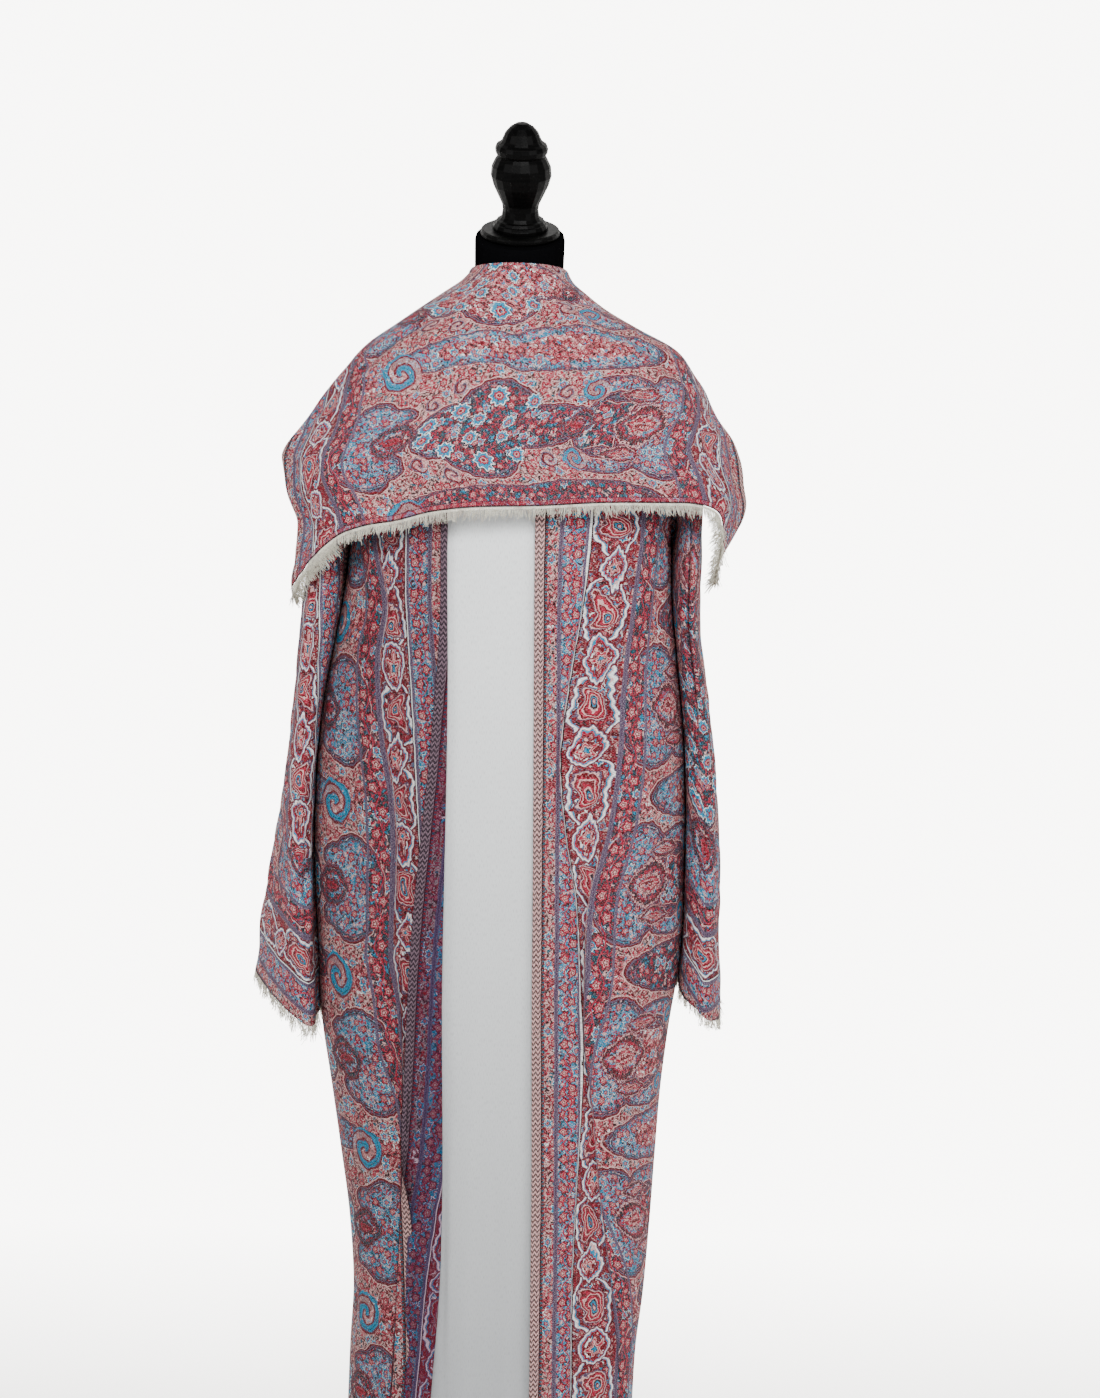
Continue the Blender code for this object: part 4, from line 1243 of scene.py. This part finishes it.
def turned_edge(start, edge_x, z):
    """The left front's edge: its fold, the strip turned back outward, and the flap turned on the strip."""
    strip = read(TURNED_EDGE, z, 1)
    flap = read(TURNED_EDGE, z, 2)
    turn = math.radians(read(TURNED_EDGE, z, 3))
    centre = Vector((edge_x - FOLD_RADIUS, start.y - FOLD_RADIUS, z))
    row = []
    for k in range(1, 8):
        a = math.pi * k / 8
        row.append(centre + Vector((math.sin(a), math.cos(a), 0.0)) * FOLD_RADIUS)
    for k in range(17):
        x = edge_x - FOLD_RADIUS - (strip - FOLD_RADIUS) * k / 16
        y = robe_point(front_angle(x, z), z).y - 2 * FOLD_RADIUS
        row.append(Vector((x, y, z)))
    strip_end = row[-1]
    if turn < 0.05:
        return row + [strip_end + Vector((-flap * k / 13, 0.0, 0.0)) for k in range(1, 14)]
    for k in range(1, 6):
        a = turn * k / 5
        row.append(strip_end + Vector((-math.sin(a), -(1 - math.cos(a)), 0.0)) * FOLD_RADIUS)
    flap_start = row[-1]
    for k in range(1, 9):
        row.append(flap_start + Vector((-math.cos(turn), -math.sin(turn), 0.0)) * flap * k / 8)
    return row


def front_left_rows():
    """Left front from the side seam to the end of its turned edge, with its lap."""
    rows, coordinates = [], []
    for z in row_heights(HEM_Z, ROBE_TOP):
        edge_x = read(FRONT_EDGES, z, 1)
        side = side_angle(z, 3, -1)
        room = edge_x - ring_point(ROBE, side, z).x
        lap_x = max(read(LEFT_LAP, z, 1), edge_x - LEFT_LAP_SHARE * room)
        stops = [front_angle(x, z) for x in (lap_x, lap_x + LAP_GAP, edge_x - FOLD_RADIUS)]
        field = [robe_point(a, z) for a in steps_to(side, stops[0], SIDE_STEPS)]
        band = [robe_point(a, z) for a in steps_to(stops[1], stops[2], BAND_STEPS)]
        turned = turned_edge(band[-1], edge_x, z)
        length = lengths(band[-1:] + turned)
        from_end = [length[-1] - d + LEFT_SELVEDGE for d in length]
        first = read(LEFT_LAP, z, 2)
        outer = [first + d for d in reversed(lengths(field[::-1]))]
        run = lengths(band)
        rate = min(1.0, (BAND_END - from_end[0]) / run[-1])
        inner = [from_end[0] + rate * (run[-1] - d) for d in run]
        rows.append(field + band + turned)
        across = outer + inner + from_end[1:]
        coordinates.append([(u, robe_height(z) + LEFT_SHIFT) for u in across])
    return rows, coordinates


def back_rows():
    rows, coordinates = [], []
    for z in row_heights(HEM_Z, ROBE_TOP):
        first = side_angle(z, 4, 1)
        last = 360 + side_angle(z, 4, -1)
        row = [robe_point(a, z) for a in steps_to(first, last, BACK_STEPS)]
        run = lengths(row)
        rows.append(row)
        coordinates.append([(CLOTH_WIDTH / 2 + d - run[-1] / 2, robe_height(z)) for d in run])
    return rows, coordinates


# Collar
def hem_height(angle):
    return read(COLLAR_HEM, angle, 1)


def collar_point(share, drop):
    """Point on the collar: share 0 to 1 runs from its left end to its right, drop 0 to 1 from neck to hem."""
    top = COLLAR[-1][0]
    left = right = 100.0
    for _ in range(4):
        z_left = top + (hem_height(-left) - top) * drop
        z_right = top + (hem_height(right) - top) * drop
        left = read(COLLAR, z_left, 5)
        right = read(COLLAR, z_right, 6)
    angle = -left + (left + right) * share
    z = top + (hem_height(angle) - top) * drop
    point = ring_point(COLLAR, angle, z)
    near_end = max(0.0, 1 - abs(abs(angle) - SELVEDGE_ANGLE) / RIPPLE_REACH)
    ripple = math.sin((z - RIPPLE_MIDDLE) * RIPPLE_RATE) * near_end * min(1.0, drop * 1.6)
    loose = slack(angle / 900 + 0.5 * z, z, COLLAR_SLACK) * min(1.0, drop * 6)
    push = RIPPLE_HEIGHT * ripple - fold_depth(angle, z, COLLAR_CREASES) + loose
    point += Vector((point.x, point.y, 0.0)).normalized() * push
    return point


def collar_coordinate(away, half):
    """Distance from the middle on the flat cloth. Wide rows are eased so the selvedge lies at their end."""
    if half < EASED_HALF:
        return away
    return read((
        (0.0, 0.0), (EASE_START, EASE_START),
        (half - EDGE_STRIPE, EDGE_STRIPE_START), (half, CLOTH_WIDTH / 2),
    ), away, 1)


def collar_rows():
    """Collar from inside the neck, over its top, down to the hem."""
    rows = []
    for half_width, half_depth, z, rise in NECK_ROWS:
        row = []
        for k in range(COLLAR_STEPS + 1):
            a = math.radians(COLLAR_WRAP * (2 * k / COLLAR_STEPS - 1))
            row.append(Vector((half_width * math.sin(a), -half_depth * math.cos(a), z + rise * math.cos(a))))
        rows.append(row)
    for r in range(COLLAR_DROPS + 1):
        drop = (r / COLLAR_DROPS) ** DROP_SPACING
        rows.append([collar_point(k / COLLAR_STEPS, drop) for k in range(COLLAR_STEPS + 1)])
    coordinates = []
    for row, up in zip(rows, heights_up(rows)):
        run = lengths(row)
        middle = run[COLLAR_STEPS // 2]
        line = []
        for d, v in zip(run, up):
            away = d - middle
            half = run[-1] - middle if away > 0 else middle
            line.append((CLOTH_WIDTH / 2 + math.copysign(collar_coordinate(abs(away), half), away), v))
        coordinates.append(line)
    return rows, coordinates


# Sleeves
def armhole_ring(side):
    ring = []
    for k in range(SLEEVE_STEPS):
        a = 2 * math.pi * k / SLEEVE_STEPS
        z = ARMHOLE_Z + ARMHOLE_HALF_HEIGHT * math.cos(a)
        y = -ARMHOLE_HALF_DEPTH * math.sin(a)
        x = side * (robe_side(side, y, z) + SLEEVE_REST)
        ring.append(Vector((x, y * 1.03, z + 0.0008 * math.cos(a))))
    return ring


def crease_push(creases, share, a):
    """How far a sleeve's creases push it in, at a share of its length and an angle round it."""
    push = 0.0
    for start, end, turn, end_turn, width, depth in creases:
        t = (share - start) / (end - start)
        if 0 < t < 1:
            line = turn + (end_turn - turn) * t
            away = (math.degrees(a) - line + 180) % 360 - 180
            push += depth * math.sin(math.pi * t) ** 0.7 * math.exp(-(away / width) ** 2)
    return push


def sleeve_rows(table, side, creases):
    """Rings from the armhole to the cuff. Below the armhole the inner side of a sleeve lies on the robe."""
    rows = [armhole_ring(side)]
    top, low = table[0][0], table[-1][0]
    for r in range(SLEEVE_ROWS + 1):
        z = top + (low - top) * r / SLEEVE_ROWS
        x, outer_x, outer_z, front_x, front_y, front_z = (read(table, z, i) for i in range(1, 7))
        centre = Vector((x, 0.0, z))
        outer = Vector((outer_x, 0.0, outer_z))
        front = Vector((front_x, front_y, front_z))
        hangs = min(1.0, max(0.0, (SLEEVE_FREE_Z - z) / SLEEVE_FREE_RUN))
        row = []
        for k in range(SLEEVE_STEPS):
            a = 2 * math.pi * k / SLEEVE_STEPS
            point = centre + outer * math.cos(a) + front * math.sin(a)
            direction = outer.normalized() * math.cos(a) + front.normalized() * math.sin(a)
            loose = slack(math.sin(a) * 0.07 + 0.5 * z, z + 3 * side, SLEEVE_SLACK) * min(1.0, r / 12)
            point -= direction * (crease_push(creases, r / SLEEVE_ROWS, a) + loose)
            open_front = min(1.0, max(0.0, 1.15 - 1.25 * math.sin(a)))
            inside = min(1.0, max(0.0, 0.35 - math.cos(a)) / 0.75) * hangs * open_front
            gap = side * point.x - robe_side(side, point.y, point.z) - SLEEVE_REST
            if gap > 0:
                point.x -= side * gap * inside
            row.append(point)
        rows.append(row)
    return rows


def sleeve_coordinates(rows, base, slope, peak):
    """Cloth coordinates with the selvedge at the cuff and the stripes across the sleeve at a slant."""
    coordinates = []
    for row, up in zip(rows, heights_up(rows)):
        run = lengths(row + row[:1])
        middle = sum(p.x for p in row) / SLEEVE_STEPS
        line = []
        for k in range(SLEEVE_STEPS + 1):
            away = row[k % SLEEVE_STEPS].x - middle
            lift = slope * away if peak is None else -slope * abs(away - peak)
            line.append((base + SLEEVE_RATE * up[k % SLEEVE_STEPS] + lift, SLEEVE_START + run[k]))
        coordinates.append(line)
    return coordinates


def upper_sleeve_coordinates(rows):
    """Cloth coordinates of the left sleeve's upper part, where the stripes run down the sleeve."""
    front = SLEEVE_STEPS // 4
    coordinates = []
    for row in rows:
        run = lengths(row + row[:1])
        at_front = UPPER_FRONT - (row[front].x + UPPER_FRONT_X) * UPPER_FRONT_RATE
        line = []
        for k in range(SLEEVE_STEPS + 1):
            away = run[k] - run[front] - (run[-1] if k > SLEEVE_STEPS // 2 else 0.0)
            line.append((abs(at_front - away), robe_height(row[k % SLEEVE_STEPS].z)))
        coordinates.append(line)
    return coordinates


def inner_panel_rows():
    """Plain panel just inside the fronts' edges, hanging in soft waves."""
    rows, coordinates = [], []
    for z in row_heights(HEM_Z, PANEL_TOP):
        left_x = read(FRONT_EDGES, z, 1) - PANEL_OVERLAP
        right_x = read(FRONT_EDGES, z, 2) + PANEL_OVERLAP
        low = max(0.0, 1 - z / PANEL_WAVE_TOP)
        row = []
        for k in range(PANEL_STEPS + 1):
            x = left_x + (right_x - left_x) * k / PANEL_STEPS
            middle = math.sin(math.pi * k / PANEL_STEPS)
            point = ring_point(ROBE, front_angle(x, z), z)
            push = fold_depth(x, z, FRONT_FOLDS) * (1 - middle ** 2)
            swing = math.sin((x + PANEL_WAVE_SHIFT) * PANEL_WAVE_RATE)
            wave = PANEL_WAVE * low * swing * middle ** 2
            wave += fold_depth(x, z, PANEL_CREASES)
            row.append(point + Vector((0.0, push + PANEL_GAP + PANEL_HOLLOW * middle + wave, 0.0)))
        rows.append(row)
        coordinates.append([(d, z) for d in lengths(row)])
    return rows, coordinates


# Yarn ends, made by Geometry Nodes along a path of roots
def geometry_tree(title, inputs):
    """Empty Geometry Nodes tree with named inputs."""
    tree = bpy.data.node_groups.new(title, "GeometryNodeTree")
    tree.interface.new_socket("Roots", in_out="INPUT", socket_type="NodeSocketGeometry")
    for label, kind in inputs:
        tree.interface.new_socket(label, in_out="INPUT", socket_type="NodeSocket" + kind)
    tree.interface.new_socket("Yarn", in_out="OUTPUT", socket_type="NodeSocketGeometry")
    return tree, tree.nodes.new("NodeGroupInput").outputs, tree.nodes.new("NodeGroupOutput").inputs


def yarn_noise(tree, scale):
    """Noise over the place of each yarn."""
    place = add_node(tree, "GeometryNodeInputPosition").outputs[0]
    inputs = [("Vector", place), ("Scale", scale), ("Detail", 1.0)]
    return add_node(tree, "ShaderNodeTexNoise", inputs).outputs


def along_yarn(tree):
    return add_node(tree, "GeometryNodeSplineParameter").outputs["Factor"]


def mapped(tree, value, start, end, low, high):
    """A number brought from one range to another."""
    inputs = [("Value", value), ("From Min", start), ("From Max", end), ("To Min", low), ("To Max", high)]
    return add_node(tree, "ShaderNodeMapRange", inputs).outputs[0]


def scaled_vector(tree, vector, factor):
    made = add_node(tree, "ShaderNodeVectorMath", [(0, vector), ("Scale", factor)], operation="SCALE")
    return made.outputs[0]


def one_yarn(tree):
    """A straight line down with five points, thinner towards its end."""
    line = add_node(tree, "GeometryNodeCurvePrimitiveLine", [("End", (0.0, 0.0, -1.0))])
    points = add_node(tree, "GeometryNodeResampleCurve", [("Curve", line.outputs[0]), ("Count", 5)])
    radius = mapped(tree, along_yarn(tree), 0.0, 1.0, 1.0, 0.45)
    inputs = [("Curve", points.outputs[0]), ("Radius", radius)]
    return add_node(tree, "GeometryNodeSetCurveRadius", inputs).outputs[0]


def fringe_tree():
    """Thin bent yarn ends that hang from a path, in small clumps of uneven length."""
    tree, given, result = geometry_tree("fringe", (
        ("Spacing", "Float"), ("Length", "Float"), ("Thickness", "Float"), ("Lean", "Float"),
        ("Tilt", "Vector"), ("Seed", "Int"), ("Material", "Material"),
    ))
    path = add_node(tree, "GeometryNodeMeshToCurve", [("Mesh", given["Roots"])])
    inputs = [("Curve", path.outputs[0]), ("Length", given["Spacing"])]
    roots = add_node(tree, "GeometryNodeResampleCurve", inputs, mode="LENGTH")

    # Each yarn leans its own way, and with its clump
    clump = yarn_noise(tree, 130.0)
    drift = yarn_noise(tree, 28.0)
    inputs = [(0, (-0.5, -0.5, -0.5)), (1, (0.5, 0.5, 0.5)), ("Seed", given["Seed"])]
    jitter = add_node(tree, "FunctionNodeRandomValue", inputs, data_type="FLOAT_VECTOR").outputs[0]
    both = vector_work(tree, "ADD", clump["Color"], drift["Color"])
    both = vector_work(tree, "ADD", both, (-1.0, -1.0, -1.0))
    own_lean = vector_work(tree, "MULTIPLY_ADD", jitter, (0.35, 0.35, 0.35), both)
    turn = vector_work(tree, "ADD", scaled_vector(tree, own_lean, given["Lean"]), given["Tilt"])

    # Lengths differ from clump to clump and a little from yarn to yarn
    inputs = [(2, 0.62), (3, 1.05), ("Seed", given["Seed"])]
    uneven = add_node(tree, "FunctionNodeRandomValue", inputs, data_type="FLOAT").outputs[1]
    clump_length = mapped(tree, clump["Fac"], 0.3, 0.7, 0.70, 1.15)
    long = Wire(tree, uneven) * Wire(tree, clump_length) * Wire(tree, given["Length"])
    many = add_node(tree, "GeometryNodeInstanceOnPoints", [
        ("Points", roots.outputs[0]), ("Instance", one_yarn(tree)), ("Rotation", turn),
        ("Scale", join(tree, 1.0, 1.0, long)),
    ])
    real = add_node(tree, "GeometryNodeRealizeInstances", [("Geometry", many.outputs[0])])

    # A yarn bends a little, more towards its end
    curl = vector_work(tree, "ADD", yarn_noise(tree, 160.0)["Color"], (-0.5, -0.5, -0.5))
    curl = vector_work(tree, "MULTIPLY", curl, (0.0060, 0.0045, 0.0015))
    bend = scaled_vector(tree, curl, along_yarn(tree))
    bent = add_node(tree, "GeometryNodeSetPosition", [("Geometry", real.outputs[0]), ("Offset", bend)])
    inputs = [("Resolution", 3), ("Radius", given["Thickness"])]
    ring = add_node(tree, "GeometryNodeCurvePrimitiveCircle", inputs)
    inputs = [("Curve", bent.outputs[0]), ("Profile Curve", ring.outputs[0])]
    tube = add_node(tree, "GeometryNodeCurveToMesh", inputs)
    inputs = [("Geometry", tube.outputs[0]), ("Material", given["Material"])]
    coloured = add_node(tree, "GeometryNodeSetMaterial", inputs)
    tree.links.new(coloured.outputs[0], result[0])
    return tree


def hang_yarn(tree, title, path, **values):
    """Plain mesh of yarn ends along a path of points."""
    mesh = bpy.data.meshes.new(title)
    mesh.from_pydata([tuple(p) for p in path], [(k, k + 1) for k in range(len(path) - 1)], [])
    roots = put(title + "_roots", mesh)
    grow = roots.modifiers.new("Grow", "NODES")
    grow.node_group = tree
    for socket in tree.interface.items_tree:
        if socket.in_out == "INPUT" and socket.name.lower() in values:
            grow[socket.identifier] = values[socket.name.lower()]
    bpy.context.view_layer.update()
    shaped = bpy.data.meshes.new_from_object(roots.evaluated_get(bpy.context.evaluated_depsgraph_get()))
    bpy.data.objects.remove(roots)
    return shaped


def one_piece(title, meshes, material):
    """One object from several meshes."""
    whole = bmesh.new()
    for mesh in meshes:
        whole.from_mesh(mesh)
    result = bpy.data.meshes.new(title)
    whole.to_mesh(result)
    whole.free()
    result.materials.clear()
    result.materials.append(material)
    for face in result.polygons:
        face.material_index = 0
    result.shade_smooth()
    return put(title, result)


def ribbon(title, top, low):
    """Flat ribbon between two paths."""
    mesh = bpy.data.meshes.new(title)
    n = len(top)
    faces = [(k, k + 1, n + k + 1, n + k) for k in range(n - 1)]
    mesh.from_pydata([tuple(p) for p in top + low], [], faces)
    return mesh


# Plain finishes
def object_noise(tree, scale, detail=2.0, stretch=(1.0, 1.0, 1.0)):
    """Noise over a piece's own place."""
    place = add_node(tree, "ShaderNodeTexCoord").outputs["Object"]
    place = vector_work(tree, "MULTIPLY", place, stretch)
    inputs = [("Vector", place), ("Scale", scale), ("Detail", detail)]
    return Wire(tree, add_node(tree, "ShaderNodeTexNoise", inputs).outputs["Fac"])


def grey_cloth():
    """Plain grey cloth with a fine even weave, and painted shade that darkens it towards its hem."""
    material, tree, shader = principled("grey_plain_weave", dye("D9DADC"), 0.85, 0.15)
    uv = add_node(tree, "ShaderNodeUVMap", uv_map="cloth")
    flat = vector_work(tree, "MULTIPLY", uv.outputs[0], (1000, 1000, 0))
    x, y = parts_of(tree, flat)
    stretched = vector_work(tree, "MULTIPLY", flat, (1.5, 0.16, 0))
    slub = Wire(tree, flat_noise(tree, stretched, 1.0, 2.0).outputs["Fac"])
    cloth = Layers(tree, dye("E4E5E7"))
    cloth.paint((slub - 0.5).most(0.0) * 2.4, dye("B4B6BA"), 0.55)
    # Painted shade: the cloth grows darker towards its hem, where less light falls
    cloth.paint(y.scaled(-1 / 900, 1.15).clipped(), dye("A6A8AC"), 0.60)
    tree.links.new(cloth.colour, shader.inputs["Base Color"])
    raise_relief(tree, shader, x.wave(1.0) * y.wave(1.0) * 0.3 + slub, 0.25, 0.0004)
    return material


def yarn_finish():
    """Undyed yarn, uneven from thread to thread."""
    material, tree, shader = principled("undyed_yarn", dye("D8D2CC"), 0.8, 0.2)
    cloth = Layers(tree, dye("EEE4DE"))
    cloth.paint(object_noise(tree, 900.0).scaled(3.0, -1.2).clipped(), dye("A0968E"), 0.7)
    cloth.paint(object_noise(tree, 90.0).scaled(4.0, -2.0).clipped(), dye("B8A4A2"), 0.5)
    tree.links.new(cloth.colour, shader.inputs["Base Color"])
    return material


def velvet_finish():
    """Matte black velvet."""
    material, tree, shader = principled("black_velvet", (0.0012, 0.0012, 0.0014, 1.0), 1.0, 0.0)
    noise = object_noise(tree, 1400.0)
    pile = Layers(tree, (0.0008, 0.0008, 0.0010, 1.0))
    pile.paint(noise, (0.0035, 0.0035, 0.0040, 1.0))
    tree.links.new(pile.colour, shader.inputs["Base Color"])
    raise_relief(tree, shader, noise, 0.5, 0.0006)
    return material


def wood_finish():
    """Black satin paint on turned wood, with faint turning lines."""
    material, tree, shader = principled("black_turned_wood", (0.0010, 0.0010, 0.0010, 1.0), 0.34, 0.05)
    grain = object_noise(tree, 60.0, 4.0, (0.4, 0.4, 9.0))
    paint = Layers(tree, (0.0010, 0.0010, 0.0010, 1.0))
    paint.paint(grain.scaled(2.0, -0.8).clipped(), (0.0030, 0.0028, 0.0026, 1.0))
    tree.links.new(paint.colour, shader.inputs["Base Color"])
    tree.links.new(grain.scaled(0.22, 0.26).socket, shader.inputs["Roughness"])
    raise_relief(tree, shader, grain, 0.12, 0.0005)
    return material


shawl = shawl_material("shawl_right_side", RIGHT_SIDE, 0.0)
shawl_back = shawl_material("shawl_wrong_side", WRONG_SIDE, 11.0, 0.9)
# Left front's copies of the cloth, darkened as painted shade for how that front hangs in the light
shawl_left = shawl_material("shawl_in_shade", RIGHT_SIDE, 0.0, 0.74)
shawl_left_back = shawl_material("shawl_wrong_side_in_shade", WRONG_SIDE, 11.0, 0.74)
grey = grey_cloth()
yarn = yarn_finish()
velvet = velvet_finish()
wood = wood_finish()


# Cloth pieces
def dress(node_name, rows, coordinates, materials, **settings):
    item = cloth_piece(node_name + "_cloth", rows, coordinates, materials, **settings)
    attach(item, "root")
    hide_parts(node_name)
    "grey_cloth" if node_name == "inner_panel" else "shawl_cloth"
    return item


both_sides = [shawl, shawl_back]
right_front = dress("front_right", *front_right_rows(), both_sides)
left_front = dress("front_left", *front_left_rows(), [shawl_left, shawl_left_back])
back = dress("back", *back_rows(), both_sides)
collar_grid, collar_places = collar_rows()
collar = dress("collar", collar_grid[::-1], collar_places[::-1], both_sides)
left_grid = sleeve_rows(LEFT_SLEEVE, -1, LEFT_SLEEVE_CREASES)
left_places = sleeve_coordinates(left_grid, base=0.016, slope=0.06, peak=None)
left_upper = upper_sleeve_coordinates(left_grid)
left_sleeve = dress(
    "sleeve_left", left_grid[::-1], left_places[::-1], both_sides, closed=True, upper=left_upper[::-1],
)
right_grid = sleeve_rows(RIGHT_SLEEVE, 1, RIGHT_SLEEVE_CREASES)
right_places = sleeve_coordinates(right_grid, base=0.026, slope=0.60, peak=0.004)
right_sleeve = dress("sleeve_right", right_grid, right_places, both_sides, closed=True)
panel = dress("inner_panel", *inner_panel_rows(), [grey, grey])


# Fringes: spacing, length and lean of each layer of yarn, and its place
COLLAR_YARN = ((0.0009, 0.0150, 0.9, 0.0), (0.0012, 0.0125, 1.3, 0.0007), (0.0028, 0.0200, 1.5, -0.0003))
CUFF_YARN = ((0.0009, 0.0150, 1.1, 0.6), (0.0022, 0.0170, 1.5, 0.4))

# Tufts at the collar's corners: seed, side, highest root, length, tilt
CORNER_TUFTS = (
    (4, -1, 1.190, 0.0170, 1.0),
    (5, 1, 1.236, 0.0170, 1.0),
    (6, -1, 1.190, 0.0215, 0.6),
    (7, 1, 1.236, 0.0215, 0.6),
)

fringe = fringe_tree()


def collar_yarn(hem, above):
    """Yarn ends all along the collar's hem. Where it falls steeply at the corners they hang as a tuft."""
    fall = [(a - b).normalized() for a, b in zip(hem, above)]
    out = [Vector((p.x, p.y, 0.0)).normalized() for p in hem]
    band_top = [p - o * 0.0006 + f * 0.0004 for p, o, f in zip(hem, out, fall)]
    band_low = [p - o * 0.0010 + f * 0.0034 for p, o, f in zip(hem, out, fall)]
    meshes = [ribbon("band", band_top, band_low)]
    for k, (spacing, length, lean, inset) in enumerate(COLLAR_YARN, 1):
        path = [p - f * 0.0024 - o * inset for p, f, o in zip(band_low, fall, out)]
        meshes.append(hang_yarn(
            fringe, "collar_yarn_" + str(k), path,
            spacing=spacing, length=length, thickness=0.00030, lean=lean, seed=k, material=yarn,
        ))
    for k, side, highest, length, tilt in CORNER_TUFTS:
        path = [p for p in band_low if side * p.x > 0.20 and p.z < highest]
        meshes.append(hang_yarn(
            fringe, "collar_tail_" + str(k), path, spacing=0.0008, length=length, thickness=0.00032,
            lean=0.8, tilt=(0.0, side * tilt, 0.0), seed=k, material=yarn,
        ))
    return one_piece("collar_fringe_yarn", meshes, yarn)


def cuff_yarn(title, ring, seed, long):
    """Yarn ends round a cuff."""
    meshes = []
    for k, (spacing, length, lean, lift) in enumerate(CUFF_YARN, 1):
        path = [p + Vector((0.0, 0.0, 0.0030)) * lift for p in ring + ring[:1]]
        meshes.append(hang_yarn(
            fringe, title + str(k), path,
            spacing=spacing, length=length * long, thickness=0.00034, lean=lean, seed=seed + k, material=yarn,
        ))
    return one_piece(title, meshes, yarn)


collar_fringe = collar_yarn(collar_grid[-1], collar_grid[-2])
left_cuff = cuff_yarn("cuff_fringe_left_yarn", left_grid[-1], 20, 1.5)
right_cuff = cuff_yarn("cuff_fringe_right_yarn", right_grid[-1], 40, 1.0)
for item, name in (
    (collar_fringe, "collar_fringe"), (left_cuff, "cuff_fringe_left"), (right_cuff, "cuff_fringe_right"),
):
    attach(item, "root")
    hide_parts(name)

# Dress form
for name, material in (
    ("form_torso", velvet), ("form_neck_cover", velvet), ("form_cap", wood),
    ("form_finial", wood), ("form_pole", wood), ("form_base", wood),
):
    for slot in bpy.data.objects[name].material_slots:
        slot.material = material


# Studio
def paper_finish():
    """Pale paper that glows where the camera sees it, plain light on the wall, and clear from behind."""
    material, tree, shader = principled("studio_paper", (0.90, 0.895, 0.885, 1.0), 0.95, 0.0)
    warm = (1.0, 0.98, 0.95, 1.0)
    place = add_node(tree, "ShaderNodeTexCoord")
    _, depth = parts_of(tree, place.outputs["Object"])
    seen = Wire(tree, add_node(tree, "ShaderNodeLightPath").outputs["Is Camera Ray"])
    glow = depth.scaled(0.8, 0.35).most(0.08).least(1.0)
    glow = glow * seen.scaled(BACKDROP_GLOW - BACKDROP_SPILL, BACKDROP_SPILL)
    shader.inputs["Emission Color"].default_value = warm
    tree.links.new(glow.socket, shader.inputs["Emission Strength"])
    bright = add_node(tree, "ShaderNodeEmission", [("Color", warm), ("Strength", WALL_GLOW)])
    wall = (depth - FLOOR_END).scaled(1 / WALL_BLEND, 0.0).clipped() * seen
    front = add_node(tree, "ShaderNodeMixShader", [(0, wall), (1, shader.outputs[0]), (2, bright.outputs[0])])
    behind = add_node(tree, "ShaderNodeNewGeometry").outputs["Backfacing"]
    clear = add_node(tree, "ShaderNodeBsdfTransparent")
    both = add_node(tree, "ShaderNodeMixShader", [(0, behind), (1, front.outputs[0]), (2, clear.outputs[0])])
    tree.links.new(both.outputs[0], tree.nodes["Material Output"].inputs["Surface"])
    return material


def studio_sweep():
    """Pale floor that curves up into a bright backdrop."""
    mesh = bpy.data.meshes.new("studio_sweep")
    profile = [(SWEEP_FRONT, 0.0), (FLOOR_END, 0.0)]
    for k in range(1, SWEEP_STEPS + 1):
        a = math.pi / 2 * k / SWEEP_STEPS
        profile.append((FLOOR_END + SWEEP_RADIUS * math.sin(a), SWEEP_RADIUS * (1 - math.cos(a))))
    profile.append((FLOOR_END + SWEEP_RADIUS, SWEEP_TOP))
    points = [(x, y, z) for y, z in profile for x in (-SWEEP_HALF_WIDTH, SWEEP_HALF_WIDTH)]
    faces = [(2 * k, 2 * k + 1, 2 * k + 3, 2 * k + 2) for k in range(len(profile) - 1)]
    mesh.from_pydata(points, [], faces)
    mesh.shade_smooth()
    mesh.materials.append(paper_finish())
    return put("studio_sweep", mesh)


def area_light(title, place, target, size, watts):
    light = bpy.data.lights.new(title, "AREA")
    light.shape = "RECTANGLE"
    light.size, light.size_y = size
    light.energy = watts
    item = put(title, light)
    item.location = place
    item.rotation_euler = (Vector(target) - Vector(place)).to_track_quat("-Z", "Y").to_euler()


studio_sweep()
area_light("key_light", (0.1, -1.9, 2.5), (0.0, 0.0, 1.25), size=(1.3, 0.7), watts=58)
area_light("softbox_left", (-2.4, -2.2, 1.9), (0.0, 0.0, 1.0), size=(1.2, 1.8), watts=36)
area_light("softbox_right", (2.5, -2.0, 1.8), (0.0, 0.0, 1.0), size=(1.2, 1.8), watts=36)

world = bpy.data.worlds.new("studio_light")
bpy.context.scene.world = world
world.use_nodes = True
world.node_tree.nodes["Background"].inputs["Color"].default_value = (1.0, 1.0, 1.0, 1.0)
world.node_tree.nodes["Background"].inputs["Strength"].default_value = 0.30

camera = bpy.data.cameras.new("camera")
camera.lens = CAMERA_LENS
view = put("camera", camera)
aim = (CAMERA_TARGET - CAMERA_PLACE).to_track_quat("-Z", "Y").to_matrix().to_4x4()
view.matrix_world = Matrix.Translation(CAMERA_PLACE) @ aim @ Matrix.Rotation(CAMERA_ROLL, 4, "Z")
bpy.context.scene.camera = view
